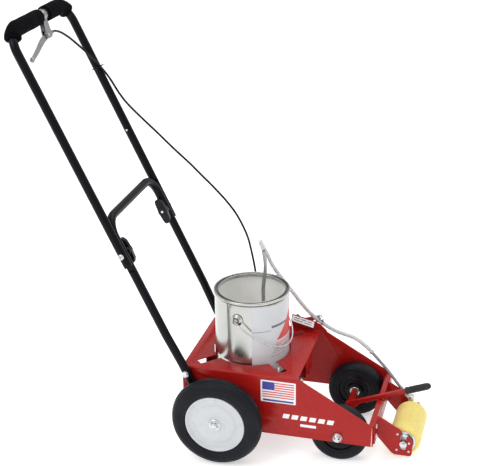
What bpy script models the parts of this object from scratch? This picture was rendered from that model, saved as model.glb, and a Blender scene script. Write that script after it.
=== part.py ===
"""Walk-behind line striping machine: folded deck on four wheels, paint can, pinch valve, tube handle, roller head.

Everything is laid out in the machine's own frame: X forwards, Y to the machine's left, Z square to the deck.
The empty machine_frame then tips that frame nose-down by the deck's rake and stands it on the ground, Z = 0.
"""

import math

import bmesh
import bpy
from mathutils import Matrix, Vector

COLLECTION_NAME = "line_striping_machine"
GAP = 0.0003  # between pieces that touch

# Chassis: one folded sheet, deck and two side panels
SHEET = 0.002
CHASSIS_HALF_WIDTH = 0.122
DECK_Z = 0.2031
DECK_REAR_X = -0.089
DECK_FRONT_X = 0.170
NOSE_X = 0.3325
NOSE_TOP_Z = 0.1113
SKIRT_Z = 0.0605
CHASSIS_BEND_RADIUS = 0.003
CAN_HOLE_RADIUS = 0.087
SLOT_WIDTH = 0.019
SLOT_REACH = 0.1355

# Wheels
REAR_WHEEL_RADIUS = 0.1016
REAR_TYRE_WIDTH = 0.042
REAR_TYRE_INNER_Y = 0.1434
REAR_DISC_RADIUS = 0.0664
REAR_AXLE_RADIUS = 0.00635
FRONT_WHEEL_RADIUS = 0.0635
FRONT_WHEEL_X = 0.2582
FRONT_WHEEL_Z = 0.0732
FRONT_WHEEL_WIDTH = 0.036
FRONT_WHEEL_INNER_Y = 0.0790
FRONT_HUB_RADIUS = 0.043
FRONT_AXLE_RADIUS = 0.00635

# The deck's rake puts both wheel pairs on the ground
RAKE = math.asin((FRONT_WHEEL_Z - FRONT_WHEEL_RADIUS) / FRONT_WHEEL_X)
BOX_MIDDLE_X = -0.01454  # shifts the machine so that its box is centred on the origin

# Handle: a lower hoop bolted to the side panels, an upper hoop outside it
TUBE_RADIUS = 0.0095
TUBE_WALL = 0.0015
HANDLE_LEAN = math.atan(0.4755)
HANDLE_ORIGIN = Vector((-0.1743, 0.0, 0.4))
HANDLE_UP = Vector((-math.sin(HANDLE_LEAN), 0.0, math.cos(HANDLE_LEAN)))
HANDLE_FRONT = Vector((math.cos(HANDLE_LEAN), 0.0, math.sin(HANDLE_LEAN)))
FOOT_TUBE_Y = CHASSIS_HALF_WIDTH + TUBE_RADIUS + 0.0004
LOWER_TUBE_Y = 0.1370
UPPER_TUBE_Y = 0.1453
NEST_Y = 0.1412  # the hoops are pressed flat against each other here
NEST_FOOT_S = 0.030
NEST_TOP_S = 0.142
LOWER_FOOT_S = -0.318
LOWER_TOP_S = 0.151
UPPER_FOOT_S = 0.043
UPPER_TOP_S = 0.586
LOWER_BEND = 0.040
UPPER_BEND = 0.045
KNOB_S = 0.071
UPPER_BOLT_S = -0.2290
LOWER_BOLT_S = -0.2990
GRIP_RADIUS = 0.018

# Paint can, one US gallon
CAN_X = 0.0373
CAN_RADIUS = 0.0825
CAN_RIM_RADIUS = 0.085
CAN_TOP_Z = 0.3506
CAN_HEIGHT = 0.192
CAN_WALL = 0.0015
EAR_Z = 0.309
EAR_TURN = math.radians(8)

# Roller head
EAR_INNER_Y = 0.0742
EAR_SHEET = 0.0025
ROLLER_X = 0.3949
ROLLER_Z = 0.0498
ROLLER_RADIUS = 0.0350
ROLLER_RIGHT_Y = -0.0640
ROLLER_LEFT_Y = 0.0560
ROLLER_AXLE_RADIUS = 0.0045

HOSE_RADIUS = 0.0046
CABLE_RADIUS = 0.0025


# ---------------------------------------------------------------- scene and materials

def clear_scene():
    for item in list(bpy.data.objects):
        bpy.data.objects.remove(item, do_unlink=True)


def new_collection(name):
    group = bpy.data.collections.new(name)
    bpy.context.scene.collection.children.link(group)
    return group


def paint(name, colour, roughness, metallic=0.0, alpha=1.0):
    mat = bpy.data.materials.new(name)
    mat.use_nodes = True
    shader = mat.node_tree.nodes["Principled BSDF"]
    shader.inputs["Base Color"].default_value = (*colour, 1.0)
    shader.inputs["Roughness"].default_value = roughness
    shader.inputs["Metallic"].default_value = metallic
    shader.inputs["Alpha"].default_value = alpha
    mat.diffuse_color = (*colour, alpha)
    return mat


def make_materials():
    return {
        "red": paint("red_powder_coat", (0.55, 0.03, 0.03), 0.3),
        "black_tube": paint("black_tube_paint", (0.01, 0.01, 0.013), 0.35),
        "foam": paint("black_foam", (0.012, 0.012, 0.014), 0.9),
        "rubber": paint("black_rubber", (0.02, 0.02, 0.022), 0.7),
        "zinc": paint("zinc_plate", (0.7, 0.7, 0.68), 0.3, 1.0),
        "tin": paint("tin_plate", (0.75, 0.75, 0.74), 0.22, 1.0),
        "white": paint("white_wheel_plastic", (0.85, 0.86, 0.86), 0.4),
        "plastic": paint("black_plastic", (0.015, 0.015, 0.017), 0.45),
        "aluminium": paint("aluminium", (0.62, 0.62, 0.62), 0.35, 1.0),
        "vinyl": paint("clear_vinyl", (0.85, 0.87, 0.86), 0.15, 0.0, 0.5),
        "nap": paint("yellow_roller_nap", (0.83, 0.66, 0.2), 0.95),
    }


clear_scene()
PARTS = new_collection(COLLECTION_NAME)
CUTTERS = new_collection("cutters")
PAINTS = make_materials()

FRAME = bpy.data.objects.new("machine_frame", None)
PARTS.objects.link(FRAME)
FRAME.rotation_euler = (0.0, RAKE, 0.0)
FRAME.location = (
    BOX_MIDDLE_X - REAR_WHEEL_RADIUS * math.sin(RAKE),
    0.0,
    REAR_WHEEL_RADIUS * (1.0 - math.cos(RAKE)),
)


# ---------------------------------------------------------------- building blocks

def place(name, data, material, location=(0.0, 0.0, 0.0), rotation=(0.0, 0.0, 0.0)):
    """A new part: linked, painted and hung on the machine frame."""
    part = bpy.data.objects.new(name, data)
    PARTS.objects.link(part)
    if material is not None:
        data.materials.append(PAINTS[material])
    part.location = location
    part.rotation_euler = rotation
    part.parent = FRAME
    return part


def as_cutter(part):
    """Turns a part into a guide that the build leaves out."""
    PARTS.objects.unlink(part)
    CUTTERS.objects.link(part)
    part.hide_render = True
    part.display_type = "WIRE"
    return part


def smooth(part, degrees=35.0):
    part.data.shade_smooth()
    part.data.set_sharp_from_angle(angle=math.radians(degrees))
    return part


def bevelled(part, width, segments=2, degrees=40.0):
    bevel = part.modifiers.new("edges", "BEVEL")
    bevel.width = width
    bevel.segments = segments
    bevel.limit_method = "ANGLE"
    bevel.angle_limit = math.radians(degrees)
    return part


def box(name, low, high, material=None):
    """A box between two corners, its origin at its middle."""
    low = Vector(low)
    high = Vector(high)
    mesh = bpy.data.meshes.new(name)
    shape = bmesh.new()
    bmesh.ops.create_cube(shape, size=1.0)
    bmesh.ops.scale(shape, vec=high - low, verts=shape.verts)
    shape.to_mesh(mesh)
    shape.free()
    return place(name, mesh, material, location=(low + high) / 2)


def aim(direction):
    """Euler angles that turn +Z to a direction."""
    return Vector(direction).to_track_quat("Z", "Y").to_euler()


def rod(name, start, end, radius, material=None, sides=24, end_radius=None):
    """A cylinder or cone frustum between two points, its origin at the start."""
    start = Vector(start)
    end = Vector(end)
    length = (end - start).length
    mesh = bpy.data.meshes.new(name)
    shape = bmesh.new()
    bmesh.ops.create_cone(
        shape,
        cap_ends=True,
        segments=sides,
        radius1=radius,
        radius2=radius if end_radius is None else end_radius,
        depth=length,
        matrix=Matrix.Translation((0.0, 0.0, length / 2)),
    )
    shape.to_mesh(mesh)
    shape.free()
    return smooth(place(name, mesh, material, location=start, rotation=aim(end - start)))


def turned(name, profile, material, location, direction, steps=32):
    """A profile of (radius, height) turned about the direction; it runs down the outer side, top to bottom."""
    mesh = bpy.data.meshes.new(name)
    shape = bmesh.new()
    points = [shape.verts.new((radius, 0.0, height)) for radius, height in profile]
    for first, second in zip(points, points[1:]):
        shape.edges.new((first, second))
    shape.to_mesh(mesh)
    shape.free()
    part = place(name, mesh, material, location=location, rotation=aim(direction))
    screw = part.modifiers.new("turn", "SCREW")
    screw.angle = math.tau
    screw.steps = steps
    screw.render_steps = steps
    screw.axis = "Z"
    screw.use_merge_vertices = True
    screw.merge_threshold = 0.00002
    screw.use_smooth_shade = False
    return part


def ring_profile(inner, outer, low, high, corner=0.0):
    """A closed profile for a washer, bush or drum, its outer corners cut at 45 degrees."""
    return [
        (inner, high),
        (outer - corner, high),
        (outer, high - corner),
        (outer, low + corner),
        (outer - corner, low),
        (inner, low),
        (inner, high),
    ] if corner else [(inner, high), (outer, high), (outer, low), (inner, low), (inner, high)]


def flat(name, outline, thickness, material, location=(0.0, 0.0, 0.0), rotation=(0.0, 0.0, 0.0)):
    """A plate from a closed outline in its own XY plane, half its thickness each way."""
    curve = bpy.data.curves.new(name, "CURVE")
    curve.dimensions = "2D"
    curve.fill_mode = "BOTH"
    curve.extrude = thickness / 2
    spline = curve.splines.new("POLY")
    spline.points.add(len(outline) - 1)
    for point, (u, v) in zip(spline.points, outline):
        point.co = (u, v, 0.0, 1.0)
    spline.use_cyclic_u = True
    return as_mesh(place(name, curve, material, location=location, rotation=rotation))


UPRIGHT = (math.pi / 2, 0.0, 0.0)  # turns a plate's XY plane to the machine's XZ plane


def rounded(corners, radius, steps=4):
    """An outline with each corner rounded; a corner may carry its own radius as a third value."""
    outline = []
    count = len(corners)
    for index, corner in enumerate(corners):
        size = corner[2] if len(corner) > 2 else radius
        here = Vector(corner[:2])
        if size <= 0.0:
            outline.append(tuple(here))
            continue
        back = (Vector(corners[index - 1][:2]) - here).normalized()
        ahead = (Vector(corners[(index + 1) % count][:2]) - here).normalized()
        half_angle = back.angle(ahead) / 2
        reach = size / math.tan(half_angle)
        middle = here + (back + ahead).normalized() * size / math.sin(half_angle)
        first = here + back * reach - middle
        last = here + ahead * reach - middle
        sweep = first.angle_signed(last)
        for step in range(steps + 1):
            arm = first.copy()
            arm.rotate(Matrix.Rotation(-sweep * step / steps, 2))
            outline.append(tuple(middle + arm))
    return outline


def as_mesh(part):
    """The part's curve made a welded mesh under the same name."""
    bpy.context.view_layer.update()
    evaluated = part.evaluated_get(bpy.context.evaluated_depsgraph_get())
    mesh = bpy.data.meshes.new_from_object(evaluated)
    shape = bmesh.new()
    shape.from_mesh(mesh)
    bmesh.ops.remove_doubles(shape, verts=shape.verts, dist=0.00001)
    bmesh.ops.recalc_face_normals(shape, faces=shape.faces)
    shape.to_mesh(mesh)
    shape.free()
    name = part.name
    collection = part.users_collection[0]
    solid = bpy.data.objects.new(name + "_mesh", mesh)
    collection.objects.link(solid)
    solid.parent = part.parent
    solid.location = part.location
    solid.rotation_euler = part.rotation_euler
    bpy.data.objects.remove(part, do_unlink=True)
    solid.name = name
    mesh.name = name
    return solid


def tube(name, points, radius, material, resolution=2, cyclic=False):
    """A round bar or cord through the points."""
    curve = bpy.data.curves.new(name, "CURVE")
    curve.dimensions = "3D"
    curve.bevel_depth = radius
    curve.bevel_resolution = resolution
    curve.use_fill_caps = not cyclic
    curve.resolution_u = 1
    curve.render_resolution_u = 0
    spline = curve.splines.new("POLY")
    spline.points.add(len(points) - 1)
    for point, where in zip(spline.points, points):
        point.co = (*where, 1.0)
    spline.use_cyclic_u = cyclic
    return place(name, curve, material)


def smooth_route(route, count):
    """Evenly spaced points on a Catmull-Rom curve through the route's points."""
    route = [Vector(point) for point in route]
    padded = [2 * route[0] - route[1], *route, 2 * route[-1] - route[-2]]
    fine = []
    for index in range(1, len(padded) - 2):
        before, start, end, after = padded[index - 1:index + 3]
        for step in range(24):
            t = step / 24
            fine.append(0.5 * (
                2 * start
                + (end - before) * t
                + (2 * before - 5 * start + 4 * end - after) * t * t
                + (3 * start - before - 3 * end + after) * t * t * t
            ))
    fine.append(route[-1])
    travel = [0.0]
    for first, second in zip(fine, fine[1:]):
        travel.append(travel[-1] + (second - first).length)
    points = []
    index = 0
    for step in range(count):
        target = travel[-1] * step / (count - 1)
        while index < len(travel) - 2 and travel[index + 1] < target:
            index += 1
        share = (target - travel[index]) / (travel[index + 1] - travel[index])
        points.append(fine[index].lerp(fine[index + 1], min(1.0, share)))
    return points


def cut(part, cutter):
    boolean = part.modifiers.new("cut", "BOOLEAN")
    boolean.operation = "DIFFERENCE"
    boolean.solver = "EXACT"
    boolean.object = as_cutter(cutter)
    return part


def join(part, other):
    """The other shape becomes one body with the part."""
    boolean = part.modifiers.new("join", "BOOLEAN")
    boolean.operation = "UNION"
    boolean.solver = "EXACT"
    boolean.object = as_cutter(other)
    return part


def each_side():
    """The machine's left, +Y, and its right."""
    return (("left", 1.0), ("right", -1.0))


# ---------------------------------------------------------------- chassis

def side_outline():
    return [
        (DECK_REAR_X, SKIRT_Z),
        (NOSE_X - 0.0015, SKIRT_Z),
        (NOSE_X, NOSE_TOP_Z),
        (DECK_FRONT_X + 0.003, DECK_Z),
        (DECK_REAR_X, DECK_Z),
    ]


def chassis():
    """Deck and side panels folded from one sheet, with the can hole, its four slots and the bolt holes."""
    body = flat("chassis", side_outline(), 2 * CHASSIS_HALF_WIDTH, "red", rotation=UPRIGHT)
    folds = body.modifiers.new("folds", "BEVEL")
    folds.width = CHASSIS_BEND_RADIUS
    folds.segments = 3
    folds.limit_method = "WEIGHT"
    weights = body.data.attributes.new("bevel_weight_edge", "FLOAT", "EDGE")
    for edge in body.data.edges:
        ends = [body.data.vertices[index].co for index in edge.vertices]
        on_deck = all(abs(end.y - DECK_Z) < 1e-5 for end in ends)
        along = abs(ends[0].x - ends[1].x) > 0.1
        weights.data[edge.index].value = 1.0 if on_deck and along else 0.0
    inner = CHASSIS_HALF_WIDTH - SHEET
    under = DECK_Z - SHEET
    cut(body, box("under_deck_cutter", (-0.2, -inner, -0.1), (DECK_FRONT_X, inner, under)))
    cut(body, box("open_front_cutter", (DECK_FRONT_X - 0.0001, -inner, -0.1), (0.5, inner, 0.4)))
    can_hole = rod("can_hole_cutter", (CAN_X, 0, 0.18), (CAN_X, 0, 0.24), CAN_HOLE_RADIUS, sides=48)
    cut(body, can_hole)
    for number in range(2):
        angle = math.radians(45 + 90 * number)
        slot = box(
            f"slot_cutter_{number}",
            (-SLOT_REACH, -SLOT_WIDTH / 2, -0.02),
            (SLOT_REACH, SLOT_WIDTH / 2, 0.02),
        )
        slot.location = (CAN_X, 0.0, DECK_Z)
        slot.rotation_euler = (0.0, 0.0, angle)
        cut(body, slot)
    reach = CHASSIS_HALF_WIDTH + 0.02
    for name, x, z, radius in (
        ("rear_axle", 0.0, REAR_WHEEL_RADIUS, REAR_AXLE_RADIUS),
        ("front_axle", FRONT_WHEEL_X, FRONT_WHEEL_Z, FRONT_AXLE_RADIUS),
    ):
        hole = rod(name + "_hole", (x, -reach, z), (x, reach, z), radius + 2 * GAP, sides=16)
        cut(body, hole)
    for name, s in (("upper_bolt", UPPER_BOLT_S), ("lower_bolt", LOWER_BOLT_S)):
        where = HANDLE_ORIGIN + HANDLE_UP * s
        hole = rod(name + "_hole", (where.x, -reach, where.z), (where.x, reach, where.z), 0.0035, sides=10)
        cut(body, hole)
    return body


def front_plate():
    """Cross plate on the panels' front edges, its top lip folded back between them."""
    half = CHASSIS_HALF_WIDTH - 0.0005
    low_x = NOSE_X + GAP
    plate = box("front_plate", (low_x, -half, SKIRT_Z), (low_x + 0.0025, half, NOSE_TOP_Z), "red")
    lip_half = CHASSIS_HALF_WIDTH - SHEET - GAP
    lip = box("front_lip", (NOSE_X - 0.0075, -lip_half, NOSE_TOP_Z - 0.0022), (low_x + 0.001, lip_half, NOSE_TOP_Z))
    join(plate, lip)
    cut(plate, box("lever_notch", (NOSE_X - 0.02, -0.0075, NOSE_TOP_Z - 0.004), (NOSE_X + 0.0002, 0.0075, NOSE_TOP_Z + 0.004)))
    for name, side in each_side():
        for height in (0.074, 0.098):
            where = side * 0.0955
            hole = rod(f"plate_hole_{name}", (low_x - 0.01, where, height), (low_x + 0.01, where, height), 0.0035, sides=10)
            cut(plate, hole)
    return plate


def can_cradle():
    """Strap under the deck that carries the can's bottom, hung from the deck's underside."""
    top = DECK_Z - SHEET - GAP
    floor = CAN_TOP_Z - CAN_HEIGHT - GAP - 0.0025
    rear = CAN_X - CAN_HOLE_RADIUS - 0.012
    front = 0.168
    half = 0.030
    thick = 0.0025
    outline = [
        (rear - 0.018, top - thick),
        (rear - thick, top - thick),
        (rear - thick, floor),
        (front, floor),
        (front, top - thick),
        (front, top),
        (front - 0.024, top),
        (front - 0.024, top - thick),
        (front - thick, top - thick),
        (front - thick, floor + thick),
        (rear, floor + thick),
        (rear, top),
        (rear - 0.018, top),
    ]
    return flat("can_cradle", outline, 2 * half, "red", rotation=UPRIGHT)


# ---------------------------------------------------------------- wheels

def rear_axle():
    """Steel axle with a collar outside each side panel that spaces the wheel off it."""
    collar_in = CHASSIS_HALF_WIDTH + GAP
    collar_out = 0.1448
    tip = 0.1868
    shaft = REAR_AXLE_RADIUS
    profile = [
        (0.0, tip),
        (shaft, tip),
        (shaft, collar_out),
        (0.0095, collar_out),
        (0.0095, collar_in),
        (shaft, collar_in),
        (shaft, -collar_in),
        (0.0095, -collar_in),
        (0.0095, -collar_out),
        (shaft, -collar_out),
        (shaft, -tip),
        (0.0, -tip),
    ]
    return turned("rear_axle", profile, "zinc", (0.0, 0.0, REAR_WHEEL_RADIUS), (0.0, 1.0, 0.0), steps=16)


def rear_wheel(side_name, side):
    """Semi-pneumatic tyre on a white stepped disc, and the cap pushed on the axle's end."""
    where = (0.0, 0.0, REAR_WHEEL_RADIUS)
    out = (0.0, side, 0.0)
    inner = REAR_TYRE_INNER_Y
    outer = inner + REAR_TYRE_WIDTH
    rim = REAR_DISC_RADIUS + GAP
    crown = REAR_WHEEL_RADIUS
    tyre = [
        (rim, outer - 0.004),
        (0.078, outer),
        (0.092, outer - 0.0010),
        (0.0988, outer - 0.0060),
        (crown, outer - 0.0145),
        (crown, inner + 0.0145),
        (0.0988, inner + 0.0060),
        (0.092, inner + 0.0010),
        (0.078, inner),
        (rim, inner + 0.004),
        (rim, outer - 0.004),
    ]
    turned(f"rear_tyre_{side_name}", tyre, "rubber", where, out, steps=36)
    bore = REAR_AXLE_RADIUS + GAP
    face = outer - 0.0045
    disc = [
        (bore, face + 0.0035),
        (0.0160, face + 0.0030),
        (0.0320, face),
        (0.0530, face + 0.0005),
        (0.0550, face - 0.0035),
        (0.0600, face - 0.0035),
        (0.0620, face + 0.0020),
        (REAR_DISC_RADIUS, face + 0.0020),
        (REAR_DISC_RADIUS, inner + 0.0060),
        (0.0625, inner + 0.0060),
        (0.0610, face - 0.0085),
        (0.0190, face - 0.0085),
        (0.0180, inner + 0.0025),
        (bore, inner + 0.0025),
        (bore, face + 0.0035),
    ]
    turned(f"rear_wheel_{side_name}", disc, "white", where, out, steps=32)
    tip = 0.1868
    cap = [
        (0.0, tip + 0.0040),
        (0.0070, tip + 0.0028),
        (0.0112, face + 0.0045),
        (0.0135, face + 0.0045),
        (0.0135, face + 0.0038),
        (REAR_AXLE_RADIUS + GAP, face + 0.0038),
        (REAR_AXLE_RADIUS + GAP, tip + GAP),
        (0.0, tip + GAP),
    ]
    turned(f"rear_hub_cap_{side_name}", cap, "zinc", where, out, steps=20)


def front_axle():
    """Bolt-like axle through both panels, its washer faces outside them."""
    where = (FRONT_WHEEL_X, 0.0, FRONT_WHEEL_Z)
    tip = CHASSIS_HALF_WIDTH + 0.0085
    shaft = FRONT_AXLE_RADIUS
    profile = [(0.0, tip), (shaft, tip), (shaft, -tip), (0.0, -tip)]
    turned("front_axle", profile, "zinc", where, (0.0, 1.0, 0.0), steps=24)
    for side_name, side in each_side():
        base = CHASSIS_HALF_WIDTH + GAP
        nut = [
            (shaft + GAP, base + 0.0075),
            (0.0098, base + 0.0070),
            (0.0098, base + 0.0018),
            (0.0112, base + 0.0018),
            (0.0112, base),
            (shaft + GAP, base),
            (shaft + GAP, base + 0.0075),
        ]
        turned(f"front_axle_nut_{side_name}", nut, "zinc", where, (0.0, side, 0.0), steps=18)


def front_wheel(side_name, side):
    """Solid rubber tread on a black moulded hub, with a plated bush in its middle."""
    where = (FRONT_WHEEL_X, 0.0, FRONT_WHEEL_Z)
    out = (0.0, side, 0.0)
    inner = FRONT_WHEEL_INNER_Y
    outer = inner + FRONT_WHEEL_WIDTH
    crown = FRONT_WHEEL_RADIUS
    seat = FRONT_HUB_RADIUS + GAP
    tyre = [
        (seat, outer - 0.001),
        (0.057, outer - 0.0004),
        (0.0618, outer - 0.0042),
        (crown, outer - 0.0100),
        (crown, inner + 0.0100),
        (0.0618, inner + 0.0042),
        (0.057, inner + 0.0004),
        (seat, inner + 0.001),
        (seat, outer - 0.001),
    ]
    turned(f"front_tyre_{side_name}", tyre, "rubber", where, out, steps=32)
    bush_radius = 0.0115
    bore = bush_radius + GAP
    hub = [
        (bore, outer - 0.001),
        (0.0175, outer - 0.001),
        (0.0190, outer - 0.0080),
        (0.0370, outer - 0.0080),
        (0.0385, outer - 0.0020),
        (FRONT_HUB_RADIUS, outer - 0.0020),
        (FRONT_HUB_RADIUS, inner + 0.0020),
        (0.0385, inner + 0.0020),
        (0.0370, inner + 0.0080),
        (0.0190, inner + 0.0080),
        (0.0175, inner + 0.001),
        (bore, inner + 0.001),
        (bore, outer - 0.001),
    ]
    turned(f"front_hub_{side_name}", hub, "plastic", where, out, steps=24)
    bush = ring_profile(FRONT_AXLE_RADIUS + GAP, bush_radius, inner - 0.0012, outer + 0.0015)
    turned(f"front_bush_{side_name}", bush, "zinc", where, out, steps=16)


# ---------------------------------------------------------------- front lever

LEVER_START = Vector((0.2500, 0.0, 0.0856))
LEVER_END = Vector((0.3861, 0.0, 0.1382))
LEVER_GRIP_LENGTH = 0.0540
LEVER_TIP = LEVER_END + (LEVER_END - LEVER_START).normalized() * LEVER_GRIP_LENGTH
SLEEVE_OUT = FRONT_WHEEL_INNER_Y - 0.0012 - GAP
SLEEVE_RADIUS = 0.0085


def front_lever():
    """Sleeve that turns on the front axle between the wheels, with its bar and rubber grip."""
    where = (FRONT_WHEEL_X, 0.0, FRONT_WHEEL_Z)
    sleeve = ring_profile(FRONT_AXLE_RADIUS + GAP, SLEEVE_RADIUS, -SLEEVE_OUT, SLEEVE_OUT)
    arm = turned("lever_arm", sleeve, "red", where, (0.0, 1.0, 0.0), steps=18)
    along = (LEVER_END - LEVER_START).normalized()
    bar_end = LEVER_TIP - along * 0.004
    bar = flat("lever_bar", rounded([
        (FRONT_WHEEL_X - 0.0076, FRONT_WHEEL_Z + 0.0010, 0.0),
        (FRONT_WHEEL_X + 0.0080, FRONT_WHEEL_Z - 0.0010, 0.0),
        (0.2840, 0.0914, 0.006),
        (LEVER_END.x + 0.0014, LEVER_END.z - 0.0036, 0.0),
        (LEVER_END.x - 0.0015, LEVER_END.z + 0.0040, 0.0),
        (FRONT_WHEEL_X - 0.0060, 0.0912, 0.004),
    ], 0.003), 0.0080, None, rotation=UPRIGHT)
    cut(bar, rod("lever_bar_bore", (FRONT_WHEEL_X, -0.02, FRONT_WHEEL_Z), (FRONT_WHEEL_X, 0.02, FRONT_WHEEL_Z), 0.0078, sides=18))
    join(arm, bar)
    core = rod("lever_core", LEVER_END - along * 0.002, bar_end, 0.0036, sides=12)
    join(arm, core)
    grip_start = LEVER_END + along * GAP
    length = (LEVER_TIP - grip_start).length
    bore = 0.0036 + GAP
    profile = [
        (0.0, length + 0.0030),
        (0.0045, length + 0.0020),
        (0.0074, length - 0.0020),
        (0.0080, length - 0.0070),
        (0.0076, 0.0060),
        (0.0080, 0.0),
        (bore, 0.0),
        (bore, length - 0.004 + GAP),
        (0.0, length - 0.004 + GAP),
    ]
    turned("lever_grip", profile, "rubber", grip_start, along, steps=16)


# ---------------------------------------------------------------- roller head

def ear_outline():
    """Side view of a roller bracket: its back edge on the front plate, an open slot for the axle at its front."""
    slot_rear = ROLLER_X - 0.0060
    slot_front = ROLLER_X + 0.0060
    slot_floor = ROLLER_Z - 0.0172
    return rounded([
        (0.3358, 0.0632, 0.0),
        (0.3680, 0.0262, 0.008),
        (0.3760, 0.0210, 0.006),
        (0.4140, 0.0208, 0.0075),
        (0.4150, 0.0560, 0.005),
        (0.4060, 0.0700, 0.0022),
        (slot_front, 0.0655, 0.001),
        (slot_front, slot_floor, 0.0058),
        (slot_rear, slot_floor, 0.0058),
        (slot_rear, 0.0830, 0.005),
        (0.3440, 0.1092, 0.006),
        (0.3358, 0.1110, 0.0),
    ], 0.003)


def roller_bracket(side_name, side):
    """Ear plate with a foot turned outwards against the front plate."""
    middle = side * (EAR_INNER_Y + EAR_SHEET / 2)
    ear = flat(f"roller_bracket_{side_name}", ear_outline(), EAR_SHEET, "red", (0.0, middle, 0.0), UPRIGHT)
    foot_x = NOSE_X + GAP + 0.0025 + GAP
    near = side * (EAR_INNER_Y + 0.0004)
    far = side * 0.1130
    foot = box(
        f"roller_foot_{side_name}",
        (foot_x, min(near, far), 0.0632),
        (foot_x + EAR_SHEET, max(near, far), 0.1110),
    )
    join(ear, foot)
    for height in (0.074, 0.098):
        y = side * 0.0955
        hole = rod(f"foot_hole_{side_name}", (foot_x - 0.01, y, height), (foot_x + 0.01, y, height), 0.0035, sides=10)
        cut(ear, hole)
    return ear


def bracket_bolt(name, y, z):
    """Round-head bolt through bracket foot and front plate, its nut behind."""
    head = NOSE_X + GAP + 0.0025 + GAP + EAR_SHEET + GAP
    back = NOSE_X - GAP
    profile = [
        (0.0, head + 0.0030),
        (0.0035, head + 0.0024),
        (0.0056, head),
        (0.0030, head),
        (0.0030, back),
        (0.0058, back),
        (0.0058, back - 0.0048),
        (0.0030, back - 0.0048),
        (0.0030, back - 0.0075),
        (0.0, back - 0.0075),
    ]
    return turned(name, profile, "zinc", (0.0, y, z), (1.0, 0.0, 0.0), steps=12)


def roller():
    """Hollow axle in the brackets' slots, roller core and nap turning on it, plated end caps, paint inlet."""
    where = (ROLLER_X, 0.0, ROLLER_Z)
    along = (0.0, 1.0, 0.0)
    tip = EAR_INNER_Y + EAR_SHEET + 0.0058
    shaft = ROLLER_AXLE_RADIUS
    flange_in = EAR_INNER_Y + EAR_SHEET + 0.0008
    flange_out = flange_in + 0.0020
    axle = [
        (0.0, tip),
        (shaft, tip),
        (shaft, flange_out),
        (0.0080, flange_out),
        (0.0080, flange_in),
        (shaft, flange_in),
        (shaft, -flange_in),
        (0.0080, -flange_in),
        (0.0080, -flange_out),
        (shaft, -flange_out),
        (shaft, -tip),
        (0.0, -tip),
    ]
    turned("roller_axle", axle, "zinc", where, along, steps=14)
    right = ROLLER_RIGHT_Y
    left = ROLLER_LEFT_Y
    bore = shaft + GAP
    core = ring_profile(bore, 0.0210, right + 0.0010, left - 0.0010)
    turned("roller_core", core, "plastic", where, along, steps=24)
    seat = 0.0210 + GAP
    crown = ROLLER_RADIUS
    nap = [
        (seat, left),
        (crown - 0.0060, left),
        (crown - 0.0018, left - 0.0022),
        (crown, left - 0.0080),
        (crown, right + 0.0080),
        (crown - 0.0018, right + 0.0022),
        (crown - 0.0060, right),
        (seat, right),
        (seat, left),
    ]
    turned("roller_nap", nap, "nap", where, along, steps=36)
    cap_left = [
        (bore, left + 0.0030),
        (0.0100, left + 0.0030),
        (0.0115, left + 0.0022),
        (0.0250, left + 0.0022),
        (0.0250, left + GAP),
        (bore, left + GAP),
        (bore, left + 0.0030),
    ]
    turned("roller_cap_left", cap_left, "zinc", where, along, steps=24)
    cap_right = [
        (bore, -right + 0.0072),
        (0.0100, -right + 0.0072),
        (0.0115, -right + 0.0022),
        (0.0250, -right + 0.0022),
        (0.0250, -right + GAP),
        (bore, -right + GAP),
        (bore, -right + 0.0072),
    ]
    turned("roller_cap_right", cap_right, "zinc", where, (0.0, -1.0, 0.0), steps=24)


FEED_JOINT = Vector((0.3780, 0.0675, 0.0935))
FEED_TOP = Vector((0.2885, 0.1000, 0.1736))


def feed_fitting():
    """Swivel on the hollow axle, between cap and bracket, that lets the paint in, and the rigid tube to it."""
    y = 0.0662
    centre = Vector((ROLLER_X, y, ROLLER_Z))
    ring = ring_profile(ROLLER_AXLE_RADIUS + GAP, 0.0135, -0.0058, 0.0058)
    fitting = turned("feed_fitting", ring, "zinc", centre, (0.0, 1.0, 0.0), steps=20)
    knee = Vector((ROLLER_X - 0.0045, y, 0.0830))
    up = (knee - centre).normalized()
    join(fitting, rod("feed_neck", centre + up * 0.0105, knee + up * 0.0065, 0.0074, sides=16))
    out = (FEED_JOINT - knee).normalized()
    join(fitting, rod("feed_limb", knee, FEED_JOINT, 0.0060, sides=14))
    start = FEED_JOINT + out * GAP
    bend = start + out * 0.010
    tube_points = smooth_route([
        start,
        start + out * 0.006,
        bend + Vector((-0.0030, 0.0008, 0.0035)),
        bend + Vector((-0.0110, 0.0040, 0.0100)),
        Vector((0.3300, 0.0850, 0.1380)),
        FEED_TOP,
    ], 20)
    return tube("feed_tube", tube_points, 0.0035, "aluminium", resolution=2)


# ---------------------------------------------------------------- paint can

def paint_can():
    """Open gallon can: seamed bottom, straight wall, lid groove rolled into the rim."""
    floor = CAN_TOP_Z - CAN_HEIGHT
    outer = CAN_RADIUS
    inner = CAN_RADIUS - CAN_WALL
    top = CAN_TOP_Z
    mouth = 0.0735
    profile = [
        (0.0, floor + 0.0050),
        (inner, floor + 0.0050),
        (inner, top - 0.0085),
        (mouth, top - 0.0070),
        (mouth, top - 0.0008),
        (mouth + 0.0022, top - 0.0004),
        (CAN_RIM_RADIUS - 0.0050, top - 0.0055),
        (CAN_RIM_RADIUS - 0.0022, top),
        (CAN_RIM_RADIUS, top - 0.0012),
        (CAN_RIM_RADIUS, top - 0.0048),
        (outer, top - 0.0075),
        (outer, floor + 0.0045),
        (CAN_RIM_RADIUS - 0.0004, floor + 0.0030),
        (CAN_RIM_RADIUS - 0.0006, floor),
        (outer - 0.0010, floor + 0.0025),
        (0.0, floor + 0.0025),
    ]
    return turned("paint_can", profile, "tin", (CAN_X, 0.0, 0.0), (0.0, 0.0, 1.0), steps=48)


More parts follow.
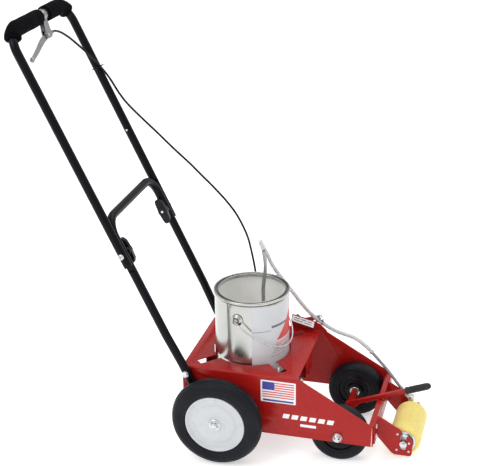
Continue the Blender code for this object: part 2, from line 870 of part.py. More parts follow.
def ear_direction(side):
    return Vector((side * math.sin(EAR_TURN), side * math.cos(EAR_TURN), 0.0))


def can_ears():
    """Pressed bosses on the can's sides that hold the bail's ends."""
    for side_name, side in each_side():
        out = ear_direction(side)
        base = CAN_RADIUS + 0.0009
        boss = [
            (0.0, base + 0.0030),
            (0.0056, base + 0.0030),
            (0.0068, base + 0.0060),
            (0.0085, base + 0.0060),
            (0.0110, base + 0.0015),
            (0.0135, base),
            (0.0, base),
        ]
        turned(f"can_ear_{side_name}", boss, "tin", (CAN_X, 0.0, EAR_Z), out, steps=18)


BAIL_HALF = 0.0895
BAIL_REACH = 0.1180
BAIL_DROP = math.radians(41)
BAIL_WIRE = 0.0014


def can_bail():
    """Wire handle, hanging forwards from the ears; its origin is on the ears' axis."""
    across = ear_direction(1.0)
    forward = Vector((math.cos(EAR_TURN), -math.sin(EAR_TURN), 0.0))
    hang = forward * math.cos(BAIL_DROP) - Vector((0.0, 0.0, 1.0)) * math.sin(BAIL_DROP)
    steps = 24
    end = BAIL_HALF + 0.0040
    points = [across * (end - 0.0020)]
    for step in range(steps + 1):
        angle = math.pi * step / steps
        points.append(across * (end + 0.0020) * math.cos(angle) + hang * BAIL_REACH * math.sin(angle))
    points.append(-across * (end - 0.0020))
    bail = tube("can_bail", points, BAIL_WIRE, "zinc", resolution=2)
    bail.location = (CAN_X, 0.0, EAR_Z)
    return bail


# ---------------------------------------------------------------- handle

def hoop(legs, top, bend, steps=7):
    """Centre line of an upside-down U in the handle's plane; legs lists its (half width, s) from the foot up."""
    half_width = legs[-1][0]
    corner_y = half_width - bend
    corner_s = top - bend
    flat_points = [(-y, s) for y, s in legs]
    for step in range(steps + 1):
        angle = math.pi / 2 * step / steps
        flat_points.append((-corner_y - bend * math.cos(angle), corner_s + bend * math.sin(angle)))
    for step in range(steps + 1):
        angle = math.pi / 2 * step / steps
        flat_points.append((corner_y + bend * math.sin(angle), corner_s + bend * math.cos(angle)))
    flat_points.extend((y, s) for y, s in reversed(legs))
    return [HANDLE_ORIGIN + Vector((0.0, y, 0.0)) + HANDLE_UP * s for y, s in flat_points]


def press_flat(part, origin, outward, wall=0.0):
    """Presses the tube's side flat at the nest plane, where the two hoops lie against each other."""
    for vertex in part.data.vertices:
        where = vertex.co + origin - HANDLE_ORIGIN
        s = where.dot(HANDLE_UP)
        if not NEST_FOOT_S < s < NEST_TOP_S:
            continue
        side = math.copysign(1.0, vertex.co.y)
        if outward and abs(vertex.co.y) > NEST_Y - GAP - wall:
            vertex.co.y = side * (NEST_Y - GAP - wall)
        if not outward and abs(vertex.co.y) < NEST_Y + GAP + wall:
            vertex.co.y = side * (NEST_Y + GAP + wall)


def bored(part, name, points, origin, outward):
    """Cuts the tube's bore, open at both feet."""
    start = points[0] + (points[0] - points[1]).normalized() * 0.01
    end = points[-1] + (points[-1] - points[-2]).normalized() * 0.01
    curve = tube(name, [start, *points, end], TUBE_RADIUS - TUBE_WALL, None, 4)
    curve.location = origin
    hollow = as_mesh(curve)
    press_flat(hollow, origin, outward, TUBE_WALL)
    return cut(part, hollow)


def handle_point(y, s, front=0.0):
    return HANDLE_ORIGIN + Vector((0.0, y, 0.0)) + HANDLE_UP * s + HANDLE_FRONT * front


def lower_handle():
    """Hoop bolted outside the side panels; its closed top braces the upper hoop."""
    legs = [
        (FOOT_TUBE_Y, LOWER_FOOT_S), (FOOT_TUBE_Y, -0.205), (LOWER_TUBE_Y, -0.130), (LOWER_TUBE_Y, 0.020), (LOWER_TUBE_Y, 0.034),
    ]
    points = hoop(legs, LOWER_TOP_S, LOWER_BEND)
    nowhere = Vector((0.0, 0.0, 0.0))
    part = as_mesh(tube("lower_handle", points, TUBE_RADIUS, "black_tube", 4))
    press_flat(part, nowhere, True)
    bored(part, "lower_handle_bore", points, nowhere, True)
    for name, s in (("knob", KNOB_S), ("upper", UPPER_BOLT_S), ("lower", LOWER_BOLT_S)):
        hole = rod(f"lower_handle_{name}_hole", handle_point(-0.16, s), handle_point(0.16, s), 0.0035, sides=10)
        cut(part, hole)
    return part


def upper_handle():
    """Hoop with the push bar, pinned to the lower hoop by the two knob bolts."""
    pivot = handle_point(0.0, KNOB_S)
    legs = [(UPPER_TUBE_Y, UPPER_FOOT_S), (UPPER_TUBE_Y, 0.138), (UPPER_TUBE_Y, 0.154)]
    points = [point - pivot for point in hoop(legs, UPPER_TOP_S, UPPER_BEND)]
    curve = tube("upper_handle", points, TUBE_RADIUS, "black_tube", 4)
    curve.location = pivot
    part = as_mesh(curve)
    press_flat(part, pivot, False)
    bored(part, "upper_handle_bore", points, pivot, False)
    hole = rod("upper_handle_hole", handle_point(-0.18, KNOB_S), handle_point(0.18, KNOB_S), 0.0035, sides=10)
    cut(part, hole)
    return part


def foam_grip(side_name, side):
    """Foam sleeve along half of the push bar and round its corner."""
    inner_y = 0.0035 if side < 0 else 0.0330
    bend = UPPER_BEND
    corner_y = UPPER_TUBE_Y - bend
    corner_s = UPPER_TOP_S - bend
    flat_points = [(inner_y, UPPER_TOP_S)]
    for step in range(5):
        angle = math.pi / 2 * step / 7
        flat_points.append((side * (corner_y + bend * math.sin(angle)), corner_s + bend * math.cos(angle)))
    points = [handle_point(y, s) for y, s in flat_points]
    outer = as_mesh(tube(f"grip_{side_name}", points, GRIP_RADIUS, "foam", 4))
    start = points[0] + (points[0] - points[1]).normalized() * 0.01
    end = points[-1] + (points[-1] - points[-2]).normalized() * 0.01
    hollow = as_mesh(tube(f"grip_hollow_{side_name}", [start, *points, end], TUBE_RADIUS + 0.0008, None, 4))
    return cut(outer, hollow)


def knob_set(side_name, side):
    """Carriage bolt from outside through both hoops, with a wing knob on its inner end."""
    pivot = handle_point(0.0, KNOB_S)
    outside = UPPER_TUBE_Y + TUBE_RADIUS + GAP
    inside = LOWER_TUBE_Y - TUBE_RADIUS - GAP
    tip = inside - 0.0190
    bolt = [
        (0.0, outside + 0.0034),
        (0.0040, outside + 0.0028),
        (0.0066, outside + 0.0004),
        (0.0066, outside),
        (0.0031, outside),
        (0.0031, tip),
        (0.0, tip),
    ]
    turned(f"knob_bolt_{side_name}", bolt, "zinc", pivot, (0.0, side, 0.0), steps=14)
    hub = ring_profile(0.0031 + GAP, 0.0105, tip + 0.0015, inside)
    knob = turned(f"wing_knob_{side_name}", hub, "plastic", pivot, (0.0, side, 0.0), steps=16)
    wing_outline = rounded([
        (-0.0300, -0.0030), (-0.0210, -0.0085), (0.0, -0.0102), (0.0210, -0.0085),
        (0.0300, -0.0030), (0.0300, 0.0060), (0.0220, 0.0085), (0.0, 0.0102),
        (-0.0220, 0.0085), (-0.0300, 0.0060),
    ], 0.004, steps=3)
    middle = side * (inside - 0.0115)
    wings = flat(f"wings_{side_name}", wing_outline, 0.0100, None, pivot + Vector((0.0, middle, 0.0)))
    wings.rotation_euler = (Matrix.Rotation(-HANDLE_LEAN, 3, "Y") @ Matrix.Rotation(math.pi / 2, 3, "X") @ Matrix.Rotation(math.pi / 2, 3, "Z")).to_euler()
    cut(wings, rod(f"wing_bore_{side_name}", pivot + Vector((0.0, -0.2, 0.0)), pivot + Vector((0.0, 0.2, 0.0)), 0.0031 + GAP, sides=16))
    return join(knob, wings)


def handle_bolt(name, side, s):
    """Bolt through tube and side panel with a nut on the inside."""
    middle = handle_point(0.0, s)
    outside = FOOT_TUBE_Y + TUBE_RADIUS + GAP
    inside = CHASSIS_HALF_WIDTH - SHEET - GAP
    head = 0.0050 if s == UPPER_BOLT_S else 0.0032
    profile = [
        (0.0, outside + head),
        (0.0058, outside + head - 0.0006),
        (0.0062, outside + head - 0.0014),
        (0.0062, outside),
        (0.0031, outside),
        (0.0031, inside),
        (0.0060, inside),
        (0.0060, inside - 0.0050),
        (0.0031, inside - 0.0050),
        (0.0031, inside - 0.0070),
        (0.0, inside - 0.0070),
    ]
    return turned(name, profile, "zinc", middle, (0.0, side, 0.0), steps=12)


# ---------------------------------------------------------------- hand lever and control cable

LEVER_CLAMP_Y = 0.0175
LEVER_PIVOT = (-0.0010, 0.5440)
LEVER_BALL = (-0.1037, 0.5150)
CABLE_BARREL = (0.0178, 0.5460)


def hand_lever():
    """Bicycle-type clamp and bracket on the push bar, with the curved blade that pulls the cable."""
    bar = handle_point(LEVER_CLAMP_Y, UPPER_TOP_S)
    ring = ring_profile(TUBE_RADIUS + GAP, TUBE_RADIUS + 0.0038, -0.0100, 0.0100)
    mount = turned("lever_mount", ring, "aluminium", bar, (0.0, 1.0, 0.0), steps=28)
    pivot_y, pivot_s = LEVER_PIVOT
    outline = rounded([
        (LEVER_CLAMP_Y + 0.0090, UPPER_TOP_S - 0.0110), (LEVER_CLAMP_Y - 0.0090, UPPER_TOP_S - 0.0110),
        (pivot_y - 0.0075, pivot_s + 0.0050), (pivot_y - 0.0060, pivot_s - 0.0070),
        (pivot_y + 0.0100, pivot_s - 0.0075), (CABLE_BARREL[0], CABLE_BARREL[1] - 0.0060),
        (CABLE_BARREL[0] + 0.0020, CABLE_BARREL[1] + 0.0060),
    ], 0.003, steps=3)
    cheek = flat("lever_cheek", outline, 0.0110, None)
    to_plane(cheek)
    join(mount, cheek)
    slot = flat("lever_slot", [
        (pivot_y - 0.02, pivot_s + 0.0135), (pivot_y - 0.02, pivot_s - 0.02),
        (pivot_y + 0.0130, pivot_s - 0.02), (pivot_y + 0.0130, pivot_s + 0.0090),
    ], 0.0052, None)
    to_plane(slot)
    cut(mount, slot)
    pin_hole = rod("lever_pin_hole", handle_point(pivot_y, pivot_s, -0.02), handle_point(pivot_y, pivot_s, 0.02), 0.0024, sides=16)
    cut(mount, pin_hole)
    barrel = rod("lever_barrel", handle_point(CABLE_BARREL[0] - 0.003, CABLE_BARREL[1]), handle_point(CABLE_BARREL[0] + 0.0110, CABLE_BARREL[1] - 0.0010), 0.0042, sides=18)
    join(mount, barrel)
    pin = [
        (0.0, 0.0072), (0.0034, 0.0068), (0.0034, 0.0058), (0.0021, 0.0058),
        (0.0021, -0.0058), (0.0034, -0.0058), (0.0034, -0.0068), (0.0, -0.0072),
    ]
    turned("lever_pin", pin, "zinc", handle_point(pivot_y, pivot_s), HANDLE_FRONT, steps=16)
    ball_y, ball_s = LEVER_BALL
    blade_line = [
        (pivot_y - 0.0040, pivot_s - 0.0010), (-0.0240, 0.5395), (-0.0440, 0.5335), (-0.0620, 0.5270),
        (-0.0800, 0.5215), (ball_y, ball_s),
    ]
    widths = [0.0062, 0.0060, 0.0058, 0.0052, 0.0046, 0.0036]
    upper_edge = [(y, s + w) for (y, s), w in zip(blade_line, widths)]
    lower_edge = [(y, s - w) for (y, s), w in zip(blade_line, widths)]
    head = [(pivot_y + 0.0055, pivot_s - 0.0045), (pivot_y + 0.0070, pivot_s), (pivot_y + 0.0055, pivot_s + 0.0045)]
    outline = head + upper_edge + lower_edge[::-1]
    blade = flat("hand_lever", outline, 0.0042, "aluminium")
    to_plane(blade, Vector((0.0, pivot_y, pivot_s)))
    cut(blade, rod("blade_hole", handle_point(pivot_y, pivot_s, -0.02), handle_point(pivot_y, pivot_s, 0.02), 0.0021 + GAP, sides=16))
    ball_mesh = bpy.data.meshes.new("lever_ball")
    shape = bmesh.new()
    bmesh.ops.create_uvsphere(shape, u_segments=12, v_segments=8, radius=0.0058)
    shape.to_mesh(ball_mesh)
    shape.free()
    join(blade, place("lever_ball", ball_mesh, None, handle_point(ball_y, ball_s)))


def to_plane(part, pivot=Vector((0.0, 0.0, 0.0))):
    """Lays a plate drawn in (y, s) coordinates into the handle's plane, its origin moved to the pivot."""
    turn = Matrix((
        (0.0, HANDLE_UP.x, HANDLE_FRONT.x),
        (1.0, HANDLE_UP.y, HANDLE_FRONT.y),
        (0.0, HANDLE_UP.z, HANDLE_FRONT.z),
    ))
    part.data.transform(Matrix.Translation((-pivot.y, -pivot.z, 0.0)))
    part.rotation_euler = turn.to_euler()
    part.location = handle_point(pivot.y, pivot.z)


CABLE_STOP = Vector((0.0700, 0.1190, 0.2240))


def cable_route():
    """Barrel, along the push bar, down the left tube under its tie, then free in one bow to the deck."""
    return [
        handle_point(CABLE_BARREL[0] + 0.0113, CABLE_BARREL[1] - 0.0010),
        handle_point(0.0444, 0.5440),
        handle_point(0.0619, 0.5370),
        handle_point(0.0776, 0.5265),
        handle_point(0.0930, 0.5130),
        handle_point(0.1120, 0.4860, 0.0030),
        handle_point(0.1270, 0.4570, 0.0080),
        handle_point(0.1390, 0.4260, 0.0120),
        handle_point(0.1470, 0.3960, 0.0150),
        Vector((-0.3049, 0.1470, 0.7235)),
        Vector((-0.2770, 0.1420, 0.6960)),
        Vector((-0.2212, 0.1340, 0.6505)),
        Vector((-0.1743, 0.1300, 0.6100)),
        Vector((-0.1410, 0.1270, 0.5830)),
        Vector((-0.1107, 0.1240, 0.5560)),
        Vector((-0.0803, 0.1210, 0.5290)),
        Vector((-0.0499, 0.1180, 0.4988)),
        Vector((-0.0256, 0.1150, 0.4681)),
        Vector((-0.0044, 0.1120, 0.4274)),
        Vector((0.0061, 0.1100, 0.3915)),
        Vector((0.0157, 0.1085, 0.3420)),
        Vector((0.0190, 0.1095, 0.3000)),
        Vector((0.0270, 0.1135, 0.2600)),
        Vector((0.0430, 0.1170, 0.2345)),
        Vector((0.0580, 0.1188, 0.2248)),
        CABLE_STOP + Vector((-0.0015, 0.0, 0.0)),
    ]


def control_cable():
    return tube("control_cable", smooth_route(cable_route(), 54), CABLE_RADIUS, "plastic", resolution=2)


# ---------------------------------------------------------------- pinch valve and hose

VALVE_PIVOT = Vector((0.1240, 0.1303, 0.2160))
VALVE_WALL_Y = 0.1130
ANVIL = Vector((0.1560, 0.0, 0.2172))
HOOD_DROP = Vector((0.0, -0.0125, -0.0115))


def valve_bracket():
    """Sheet bracket on the deck's left edge: foot, wall, sloping hood for the label, pivot pin and anvil pin."""
    wall_y = VALVE_WALL_Y
    base = DECK_Z + GAP
    wall = flat("valve_bracket", rounded([
        (0.1010, base, 0.0), (0.1850, base, 0.0), (0.1700, 0.2180, 0.004),
        (0.1580, 0.2240, 0.003), (0.1010, 0.2385, 0.004),
    ], 0.003), 0.0020, "red", (0.0, wall_y, 0.0), UPRIGHT)
    foot = box("valve_foot", (0.1030, 0.1010, base), (0.1680, wall_y, base + 0.0020))
    join(wall, foot)
    hood = slab("valve_hood", Vector((0.1020, wall_y, 0.2372)), Vector((0.1560, wall_y, 0.2240)), HOOD_DROP, 0.0018)
    join(wall, hood)
    for name, x, z, radius in (
        ("valve_pin", VALVE_PIVOT.x, VALVE_PIVOT.z, 0.0025),
        ("valve_anvil", ANVIL.x, ANVIL.z, 0.0030),
    ):
        join(wall, rod(name, (x, wall_y, z), (x, 0.1335, z), radius, sides=14))
    return wall


def slab(name, first, second, across, thickness):
    """A thin plate from an edge, carried along a vector, thickened along its normal."""
    mesh = bpy.data.meshes.new(name)
    shape = bmesh.new()
    normal = (second - first).cross(across).normalized() * thickness / 2
    corners = []
    for offset in (normal, -normal):
        corners.append([shape.verts.new(point + offset) for point in (first, second, second + across, first + across)])
    shape.faces.new(corners[0])
    shape.faces.new(corners[1][::-1])
    for index in range(4):
        after = (index + 1) % 4
        shape.faces.new((corners[0][index], corners[1][index], corners[1][after], corners[0][after]))
    bmesh.ops.recalc_face_normals(shape, faces=shape.faces)
    shape.to_mesh(mesh)
    shape.free()
    return place(name, mesh, None)


def pinch_arm():
    """Steel arm on the valve pin: the cable pulls its tail, its nose presses the hose on the anvil."""
    x, y, z = VALVE_PIVOT
    outline = rounded([
        (-0.0070, -0.0060), (0.0060, -0.0060), (0.0440, 0.0110), (0.0470, 0.0170), (0.0410, 0.0190),
        (0.0060, 0.0070), (-0.0040, 0.0070), (-0.0130, 0.0150), (-0.0185, 0.0110), (-0.0110, 0.0010),
    ], 0.0020, steps=2)
    arm = flat("pinch_arm", outline, 0.0022, "zinc", (x, y, z), UPRIGHT)
    nose = rod("pinch_nose", (x + 0.0425, y, z + 0.0152), (x + 0.0425, 0.1170, z + 0.0152), 0.0028, sides=12)
    join(arm, nose)
    return cut(arm, rod("pinch_bore", (x, 0.12, z), (x, 0.14, z), 0.0025 + GAP, sides=14))


def cable_stop():
    """Bracket on the deck that holds the end of the cable's casing."""
    x, y, z = CABLE_STOP
    post = box("cable_stop", (x + 0.0035, y - 0.0065, DECK_Z + GAP), (x + 0.0060, y + 0.0065, z + 0.0065), "zinc")
    foot = box("cable_stop_foot", (x + 0.0035, y - 0.0165, DECK_Z + GAP), (x + 0.0160, y + 0.0020, DECK_Z + 0.0024))
    join(post, foot)
    return join(post, rod("cable_ferrule", (x, y, z), (x + 0.0130, y, z), 0.0040, sides=14))


def siphon_tube():
    """Rigid pick-up tube standing in the can, its top leaning towards the hose."""
    points = smooth_route([
        (0.0560, 0.0300, CAN_TOP_Z - CAN_HEIGHT + 0.0110),
        (0.0560, 0.0300, 0.2400),
        (0.0554, 0.0300, 0.3123),
        (0.0553, 0.0300, 0.3369),
        (0.0581, 0.0300, 0.3618),
        (0.0603, 0.0300, 0.3816),
        (0.0605, 0.0300, 0.3986),
        (0.0586, 0.0300, 0.4153),
        (0.0560, 0.0300, 0.4282),
    ], 18)
    return tube("siphon_tube", points, 0.0042, "aluminium", resolution=2)


def hose_route():
    """Off the siphon tube, over in a loop, down behind the can to the valve, along the left panel to the feed tube."""
    return [
        (0.0553, 0.0303, 0.4302),
        (0.0535, 0.0314, 0.4358),
        (0.0505, 0.0345, 0.4415),
        (0.0478, 0.0420, 0.4430),
        (0.0483, 0.0520, 0.4320),
        (0.0532, 0.0600, 0.4139),
        (0.0579, 0.0680, 0.3968),
        (0.0621, 0.0740, 0.3807),
        (0.0704, 0.0830, 0.3594),
        (0.0806, 0.0910, 0.3392),
        (0.0918, 0.0990, 0.3186),
        (0.1042, 0.1070, 0.2976),
        (0.1161, 0.1130, 0.2773),
        (0.1283, 0.1180, 0.2587),
        (0.1408, 0.1210, 0.2433),
        (0.1520, 0.1230, 0.2313),
        (0.1618, 0.1235, 0.2232),
        (0.1718, 0.1240, 0.2169),
        (0.1841, 0.1240, 0.2094),
        (0.1983, 0.1240, 0.2024),
        (0.2129, 0.1220, 0.1985),
        (0.2298, 0.1200, 0.1954),
        (0.2446, 0.1160, 0.1937),
        (0.2593, 0.1100, 0.1904),
        (0.2718, 0.1050, 0.1847),
        (0.2800, 0.1022, 0.1795),
        (0.2880, 0.1001, 0.1740),
    ]


def supply_hose():
    return tube("supply_hose", smooth_route(hose_route(), 40), HOSE_RADIUS, "vinyl", resolution=2)


# ---------------------------------------------------------------- the machine

def build():
    chassis()
    front_plate()
    can_cradle()
    rear_axle()
    front_axle()
    for side_name, side in each_side():
        rear_wheel(side_name, side)
        front_wheel(side_name, side)
        roller_bracket(side_name, side)
        foam_grip(side_name, side)
        knob_set(side_name, side)
        handle_bolt(f"handle_bolt_{side_name}", side, UPPER_BOLT_S)
        handle_bolt(f"handle_lower_bolt_{side_name}", side, LOWER_BOLT_S)
        bracket_bolt(f"bracket_bolt_{side_name}", side * 0.0955, 0.098)
    front_lever()
    roller()
    feed_fitting()
    paint_can()
    can_ears()
    can_bail()
    lower_handle()
    upper_handle()
    hand_lever()
    control_cable()
    valve_bracket()
    pinch_arm()
    cable_stop()
    siphon_tube()
    supply_hose()


build()
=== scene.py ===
"""Looks of the line striping machine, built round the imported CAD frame.

Pieces are laid out in the machine's own frame, as in the CAD: X forwards, Y to its left, Z square to
the deck. MACHINE then carries them into the row frame, where the deck rakes nose-down and the ground is
Z = 0.
"""

import math

import bmesh
import bpy
from mathutils import Matrix, Vector, noise


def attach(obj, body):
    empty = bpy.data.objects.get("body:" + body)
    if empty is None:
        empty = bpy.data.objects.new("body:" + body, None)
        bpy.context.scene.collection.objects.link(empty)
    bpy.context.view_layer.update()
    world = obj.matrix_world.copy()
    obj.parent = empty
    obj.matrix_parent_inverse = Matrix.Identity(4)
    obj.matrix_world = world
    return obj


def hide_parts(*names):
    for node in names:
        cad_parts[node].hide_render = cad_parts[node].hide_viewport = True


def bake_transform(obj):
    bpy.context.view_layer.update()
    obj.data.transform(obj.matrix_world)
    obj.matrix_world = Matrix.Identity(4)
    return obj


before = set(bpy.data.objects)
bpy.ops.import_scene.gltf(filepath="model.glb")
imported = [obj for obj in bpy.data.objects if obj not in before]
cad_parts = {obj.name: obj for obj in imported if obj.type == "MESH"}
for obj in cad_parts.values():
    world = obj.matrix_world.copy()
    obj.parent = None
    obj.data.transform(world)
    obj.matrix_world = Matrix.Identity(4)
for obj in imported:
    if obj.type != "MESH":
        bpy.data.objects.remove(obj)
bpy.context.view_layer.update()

# ---------------------------------------------------------------- sizes the CAD uses

GAP = 0.0003
SHEET = 0.002
CHASSIS_HALF_WIDTH = 0.122
DECK_Z = 0.2031
REAR_WHEEL_RADIUS = 0.1016
REAR_TYRE_WIDTH = 0.042
REAR_TYRE_INNER_Y = 0.1434
REAR_DISC_RADIUS = 0.0664
REAR_AXLE_TIP = 0.1868
AXLE_RADIUS = 0.00635
FRONT_WHEEL_RADIUS = 0.0635
FRONT_WHEEL_X = 0.2582
FRONT_WHEEL_Z = 0.0732
FRONT_WHEEL_WIDTH = 0.036
FRONT_WHEEL_INNER_Y = 0.0790
FRONT_HUB_RADIUS = 0.043
RAKE = math.asin((FRONT_WHEEL_Z - FRONT_WHEEL_RADIUS) / FRONT_WHEEL_X)
BOX_MIDDLE_X = -0.01454
MACHINE = Matrix.Translation((
    BOX_MIDDLE_X - REAR_WHEEL_RADIUS * math.sin(RAKE),
    0.0,
    REAR_WHEEL_RADIUS * (1.0 - math.cos(RAKE)),
)) @ Matrix.Rotation(RAKE, 4, "Y")

TUBE_RADIUS = 0.0095
HANDLE_LEAN = math.atan(0.4755)
HANDLE_ORIGIN = Vector((-0.1743, 0.0, 0.4))
HANDLE_UP = Vector((-math.sin(HANDLE_LEAN), 0.0, math.cos(HANDLE_LEAN)))
HANDLE_FRONT = Vector((math.cos(HANDLE_LEAN), 0.0, math.sin(HANDLE_LEAN)))
FOOT_TUBE_Y = CHASSIS_HALF_WIDTH + TUBE_RADIUS + 0.0004
LOWER_TUBE_Y = 0.1370
UPPER_TUBE_Y = 0.1453
NEST_Y = 0.1412
NEST_FOOT_S = 0.030
NEST_TOP_S = 0.142
KNOB_S = 0.071
UPPER_TOP_S = 0.586
UPPER_BEND = 0.045
GRIP_RADIUS = 0.018

CAN_X = 0.0373
CAN_RADIUS = 0.0825
CAN_TOP_Z = 0.3506
CAN_FLOOR_Z = CAN_TOP_Z - 0.192
EAR_Z = 0.309
EAR_TURN = math.radians(8)

EAR_INNER_Y = 0.0742
EAR_SHEET = 0.0025
ROLLER_X = 0.3949
ROLLER_Z = 0.0498
ROLLER_RADIUS = 0.0350
ROLLER_RIGHT_Y = -0.0640
ROLLER_LEFT_Y = 0.0560
ROLLER_AXLE_RADIUS = 0.0045
PLATE_FRONT_X = 0.3325 + GAP + 0.0025
HOSE_RADIUS = 0.0046
CABLE_RADIUS = 0.0025
PRINT_LIFT = 0.00012  # prints lie this far off the sheet, on top of a label or sticker
Y_AXIS = Vector((0.0, 1.0, 0.0))


# ---------------------------------------------------------------- materials

class Paint:
    """A node material, and the name of the record's slot it belongs to, which is stored but not used."""

    def __init__(self, name, slot):
        self.slot = slot
        self.material = bpy.data.materials.new(name)
        self.material.use_nodes = True
        self.tree = self.material.node_tree
        self.shader = self.tree.nodes["Principled BSDF"]
        self.where = self.add("ShaderNodeTexCoord").outputs["Object"]

    def add(self, kind, inputs=None, **settings):
        node = self.tree.nodes.new(kind)
        for key, value in settings.items():
            setattr(node, key, value)
        for key, value in (inputs or {}).items():
            if isinstance(value, bpy.types.NodeSocket):
                self.tree.links.new(value, node.inputs[key])
            else:
                node.inputs[key].default_value = value
        return node

    def noise(self, scale, detail=3.0, stretch=None):
        where = self.where
        if stretch:
            where = self.add("ShaderNodeMapping", {"Vector": where, "Scale": stretch}).outputs["Vector"]
        inputs = {"Vector": where, "Scale": scale, "Detail": detail}
        return self.add("ShaderNodeTexNoise", inputs).outputs["Fac"]

    def spread(self, value, low, high, start=0.35, end=0.65):
        """A value from low to high as the input goes from start to end."""
        inputs = {"Value": value, "From Min": start, "From Max": end, "To Min": low, "To Max": high}
        return self.add("ShaderNodeMapRange", inputs).outputs["Result"]

    def ramp(self, value, stops):
        node = self.add("ShaderNodeValToRGB", {"Fac": value})
        band = node.color_ramp
        while len(band.elements) < len(stops):
            band.elements.new(0.5)
        for element, (position, colour) in zip(band.elements, stops):
            element.position = position
            element.color = (*colour, 1.0)
        return node.outputs["Color"]

    def mix(self, share, first, second):
        node = self.add("ShaderNodeMix", data_type="RGBA")
        self.tree.links.new(share, node.inputs[0])
        for socket, value in ((node.inputs[6], first), (node.inputs[7], second)):
            if isinstance(value, bpy.types.NodeSocket):
                self.tree.links.new(value, socket)
            else:
                socket.default_value = (*value, 1.0)
        return node.outputs[2]

    def drive(self, name, socket):
        self.tree.links.new(socket, self.shader.inputs[name])

    def fixed(self, **values):
        for name, value in values.items():
            self.shader.inputs[name.replace("_", " ")].default_value = value


def shade(colour, factor):
    return tuple(min(1.0, channel * factor) for channel in colour)


def surface(name, slot, colour, roughness, metallic=0.0, vary=0.08, vary_scale=24.0, spread=0.05,
            smudge_scale=45.0, stretch=None, bumps=(), edge_highlight=None, edge_highlight_radius=0.0012, fixed=None):
    """Drifting colour, smudged roughness, a bump per (scale, strength, distance, detail), and a painted
    highlight on edges.
    """
    paint = Paint(name, slot)
    drift = paint.noise(vary_scale, 4.0, stretch)
    dark = shade(colour, 1.0 - vary)
    pale = shade(colour, 1.0 + vary)
    tone = paint.ramp(drift, [(0.3, dark), (0.5, colour), (0.72, pale)])
    # Painted highlight: a paler colour mixed in along rounded edges, broken up by noise.
    if edge_highlight:
        rounded_normal = paint.add("ShaderNodeBevel", {"Radius": edge_highlight_radius}, samples=4).outputs["Normal"]
        flat_normal = paint.add("ShaderNodeNewGeometry").outputs["Normal"]
        dot = paint.add("ShaderNodeVectorMath", {0: rounded_normal, 1: flat_normal}, operation="DOT_PRODUCT")
        edge = paint.spread(dot.outputs["Value"], 1.0, 0.0, 0.86, 0.995)
        broken = paint.spread(paint.noise(260.0, 5.0), 0.15, 0.75, 0.40, 0.62)
        share = paint.add("ShaderNodeMath", {0: edge, 1: broken}, operation="MULTIPLY").outputs["Value"]
        tone = paint.mix(share, tone, edge_highlight)
    paint.drive("Base Color", tone)
    smudge = paint.noise(smudge_scale, 5.0, stretch)
    smooth = max(0.02, roughness - spread)
    rough = min(1.0, roughness + spread)
    paint.drive("Roughness", paint.spread(smudge, smooth, rough))
    normal = None
    for scale, strength, distance, detail in bumps:
        inputs = {"Height": paint.noise(scale, detail, stretch), "Strength": strength, "Distance": distance}
        if normal is not None:
            inputs["Normal"] = normal
        normal = paint.add("ShaderNodeBump", inputs).outputs["Normal"]
    if normal is not None:
        paint.drive("Normal", normal)
    paint.fixed(Metallic=metallic, **(fixed or {}))
    return paint


def foam_surface():
    """Closed-cell foam: small open cells over a soft skin, each cell darker towards its pit as painted shade.
    """
    paint = Paint("closed_cell_foam", "foam")
    cells = paint.add("ShaderNodeTexVoronoi", {"Vector": paint.where, "Scale": 850.0}).outputs["Distance"]
    # Painted shade: the colour darkens towards each cell's centre, where the bump sinks a pit.
    paint.drive("Base Color", paint.ramp(cells, [
        (0.0, (0.0008, 0.0008, 0.0012)), (0.35, (0.0020, 0.0019, 0.0028)), (0.9, (0.0044, 0.0042, 0.0058)),
    ]))
    paint.drive("Roughness", paint.spread(paint.noise(60.0), 0.82, 0.98))
    bumped = {"Height": cells, "Strength": 0.5, "Distance": 0.0004}
    coarse = paint.add("ShaderNodeBump", bumped).outputs["Normal"]
    soft = {"Height": paint.noise(90.0, 4.0), "Strength": 0.35, "Distance": 0.0012, "Normal": coarse}
    paint.drive("Normal", paint.add("ShaderNodeBump", soft).outputs["Normal"])
    paint.fixed(Specular_IOR_Level=0.05)
    return paint


def nap_surface():
    """Yellow roller nap: fine fibres, their colour darker in the bump's hollows and paler on its raised tufts
    as painted shade and light, and a soft sheen.
    """
    paint = Paint("roller_nap", "nap")
    tufts = paint.noise(620.0, 6.0)
    broad = paint.noise(38.0, 3.0)
    # The same noise sets colour and bump: darker low and paler high, which is painted shade and painted
    # light.
    fibre = paint.ramp(tufts, [
        (0.28, (0.62, 0.47, 0.10)), (0.5, (0.84, 0.69, 0.19)), (0.72, (0.93, 0.82, 0.33)),
    ])
    paint.drive("Base Color", paint.mix(paint.spread(broad, 0.0, 0.25), fibre, (0.86, 0.74, 0.30)))
    paint.drive("Roughness", paint.spread(broad, 0.85, 1.0))
    bumped = {"Height": tufts, "Strength": 0.55, "Distance": 0.0006}
    paint.drive("Normal", paint.add("ShaderNodeBump", bumped).outputs["Normal"])
    paint.fixed(Sheen_Weight=0.35, Sheen_Roughness=0.4)
    paint.shader.inputs["Specular IOR Level"].default_value = 0.2
    return paint


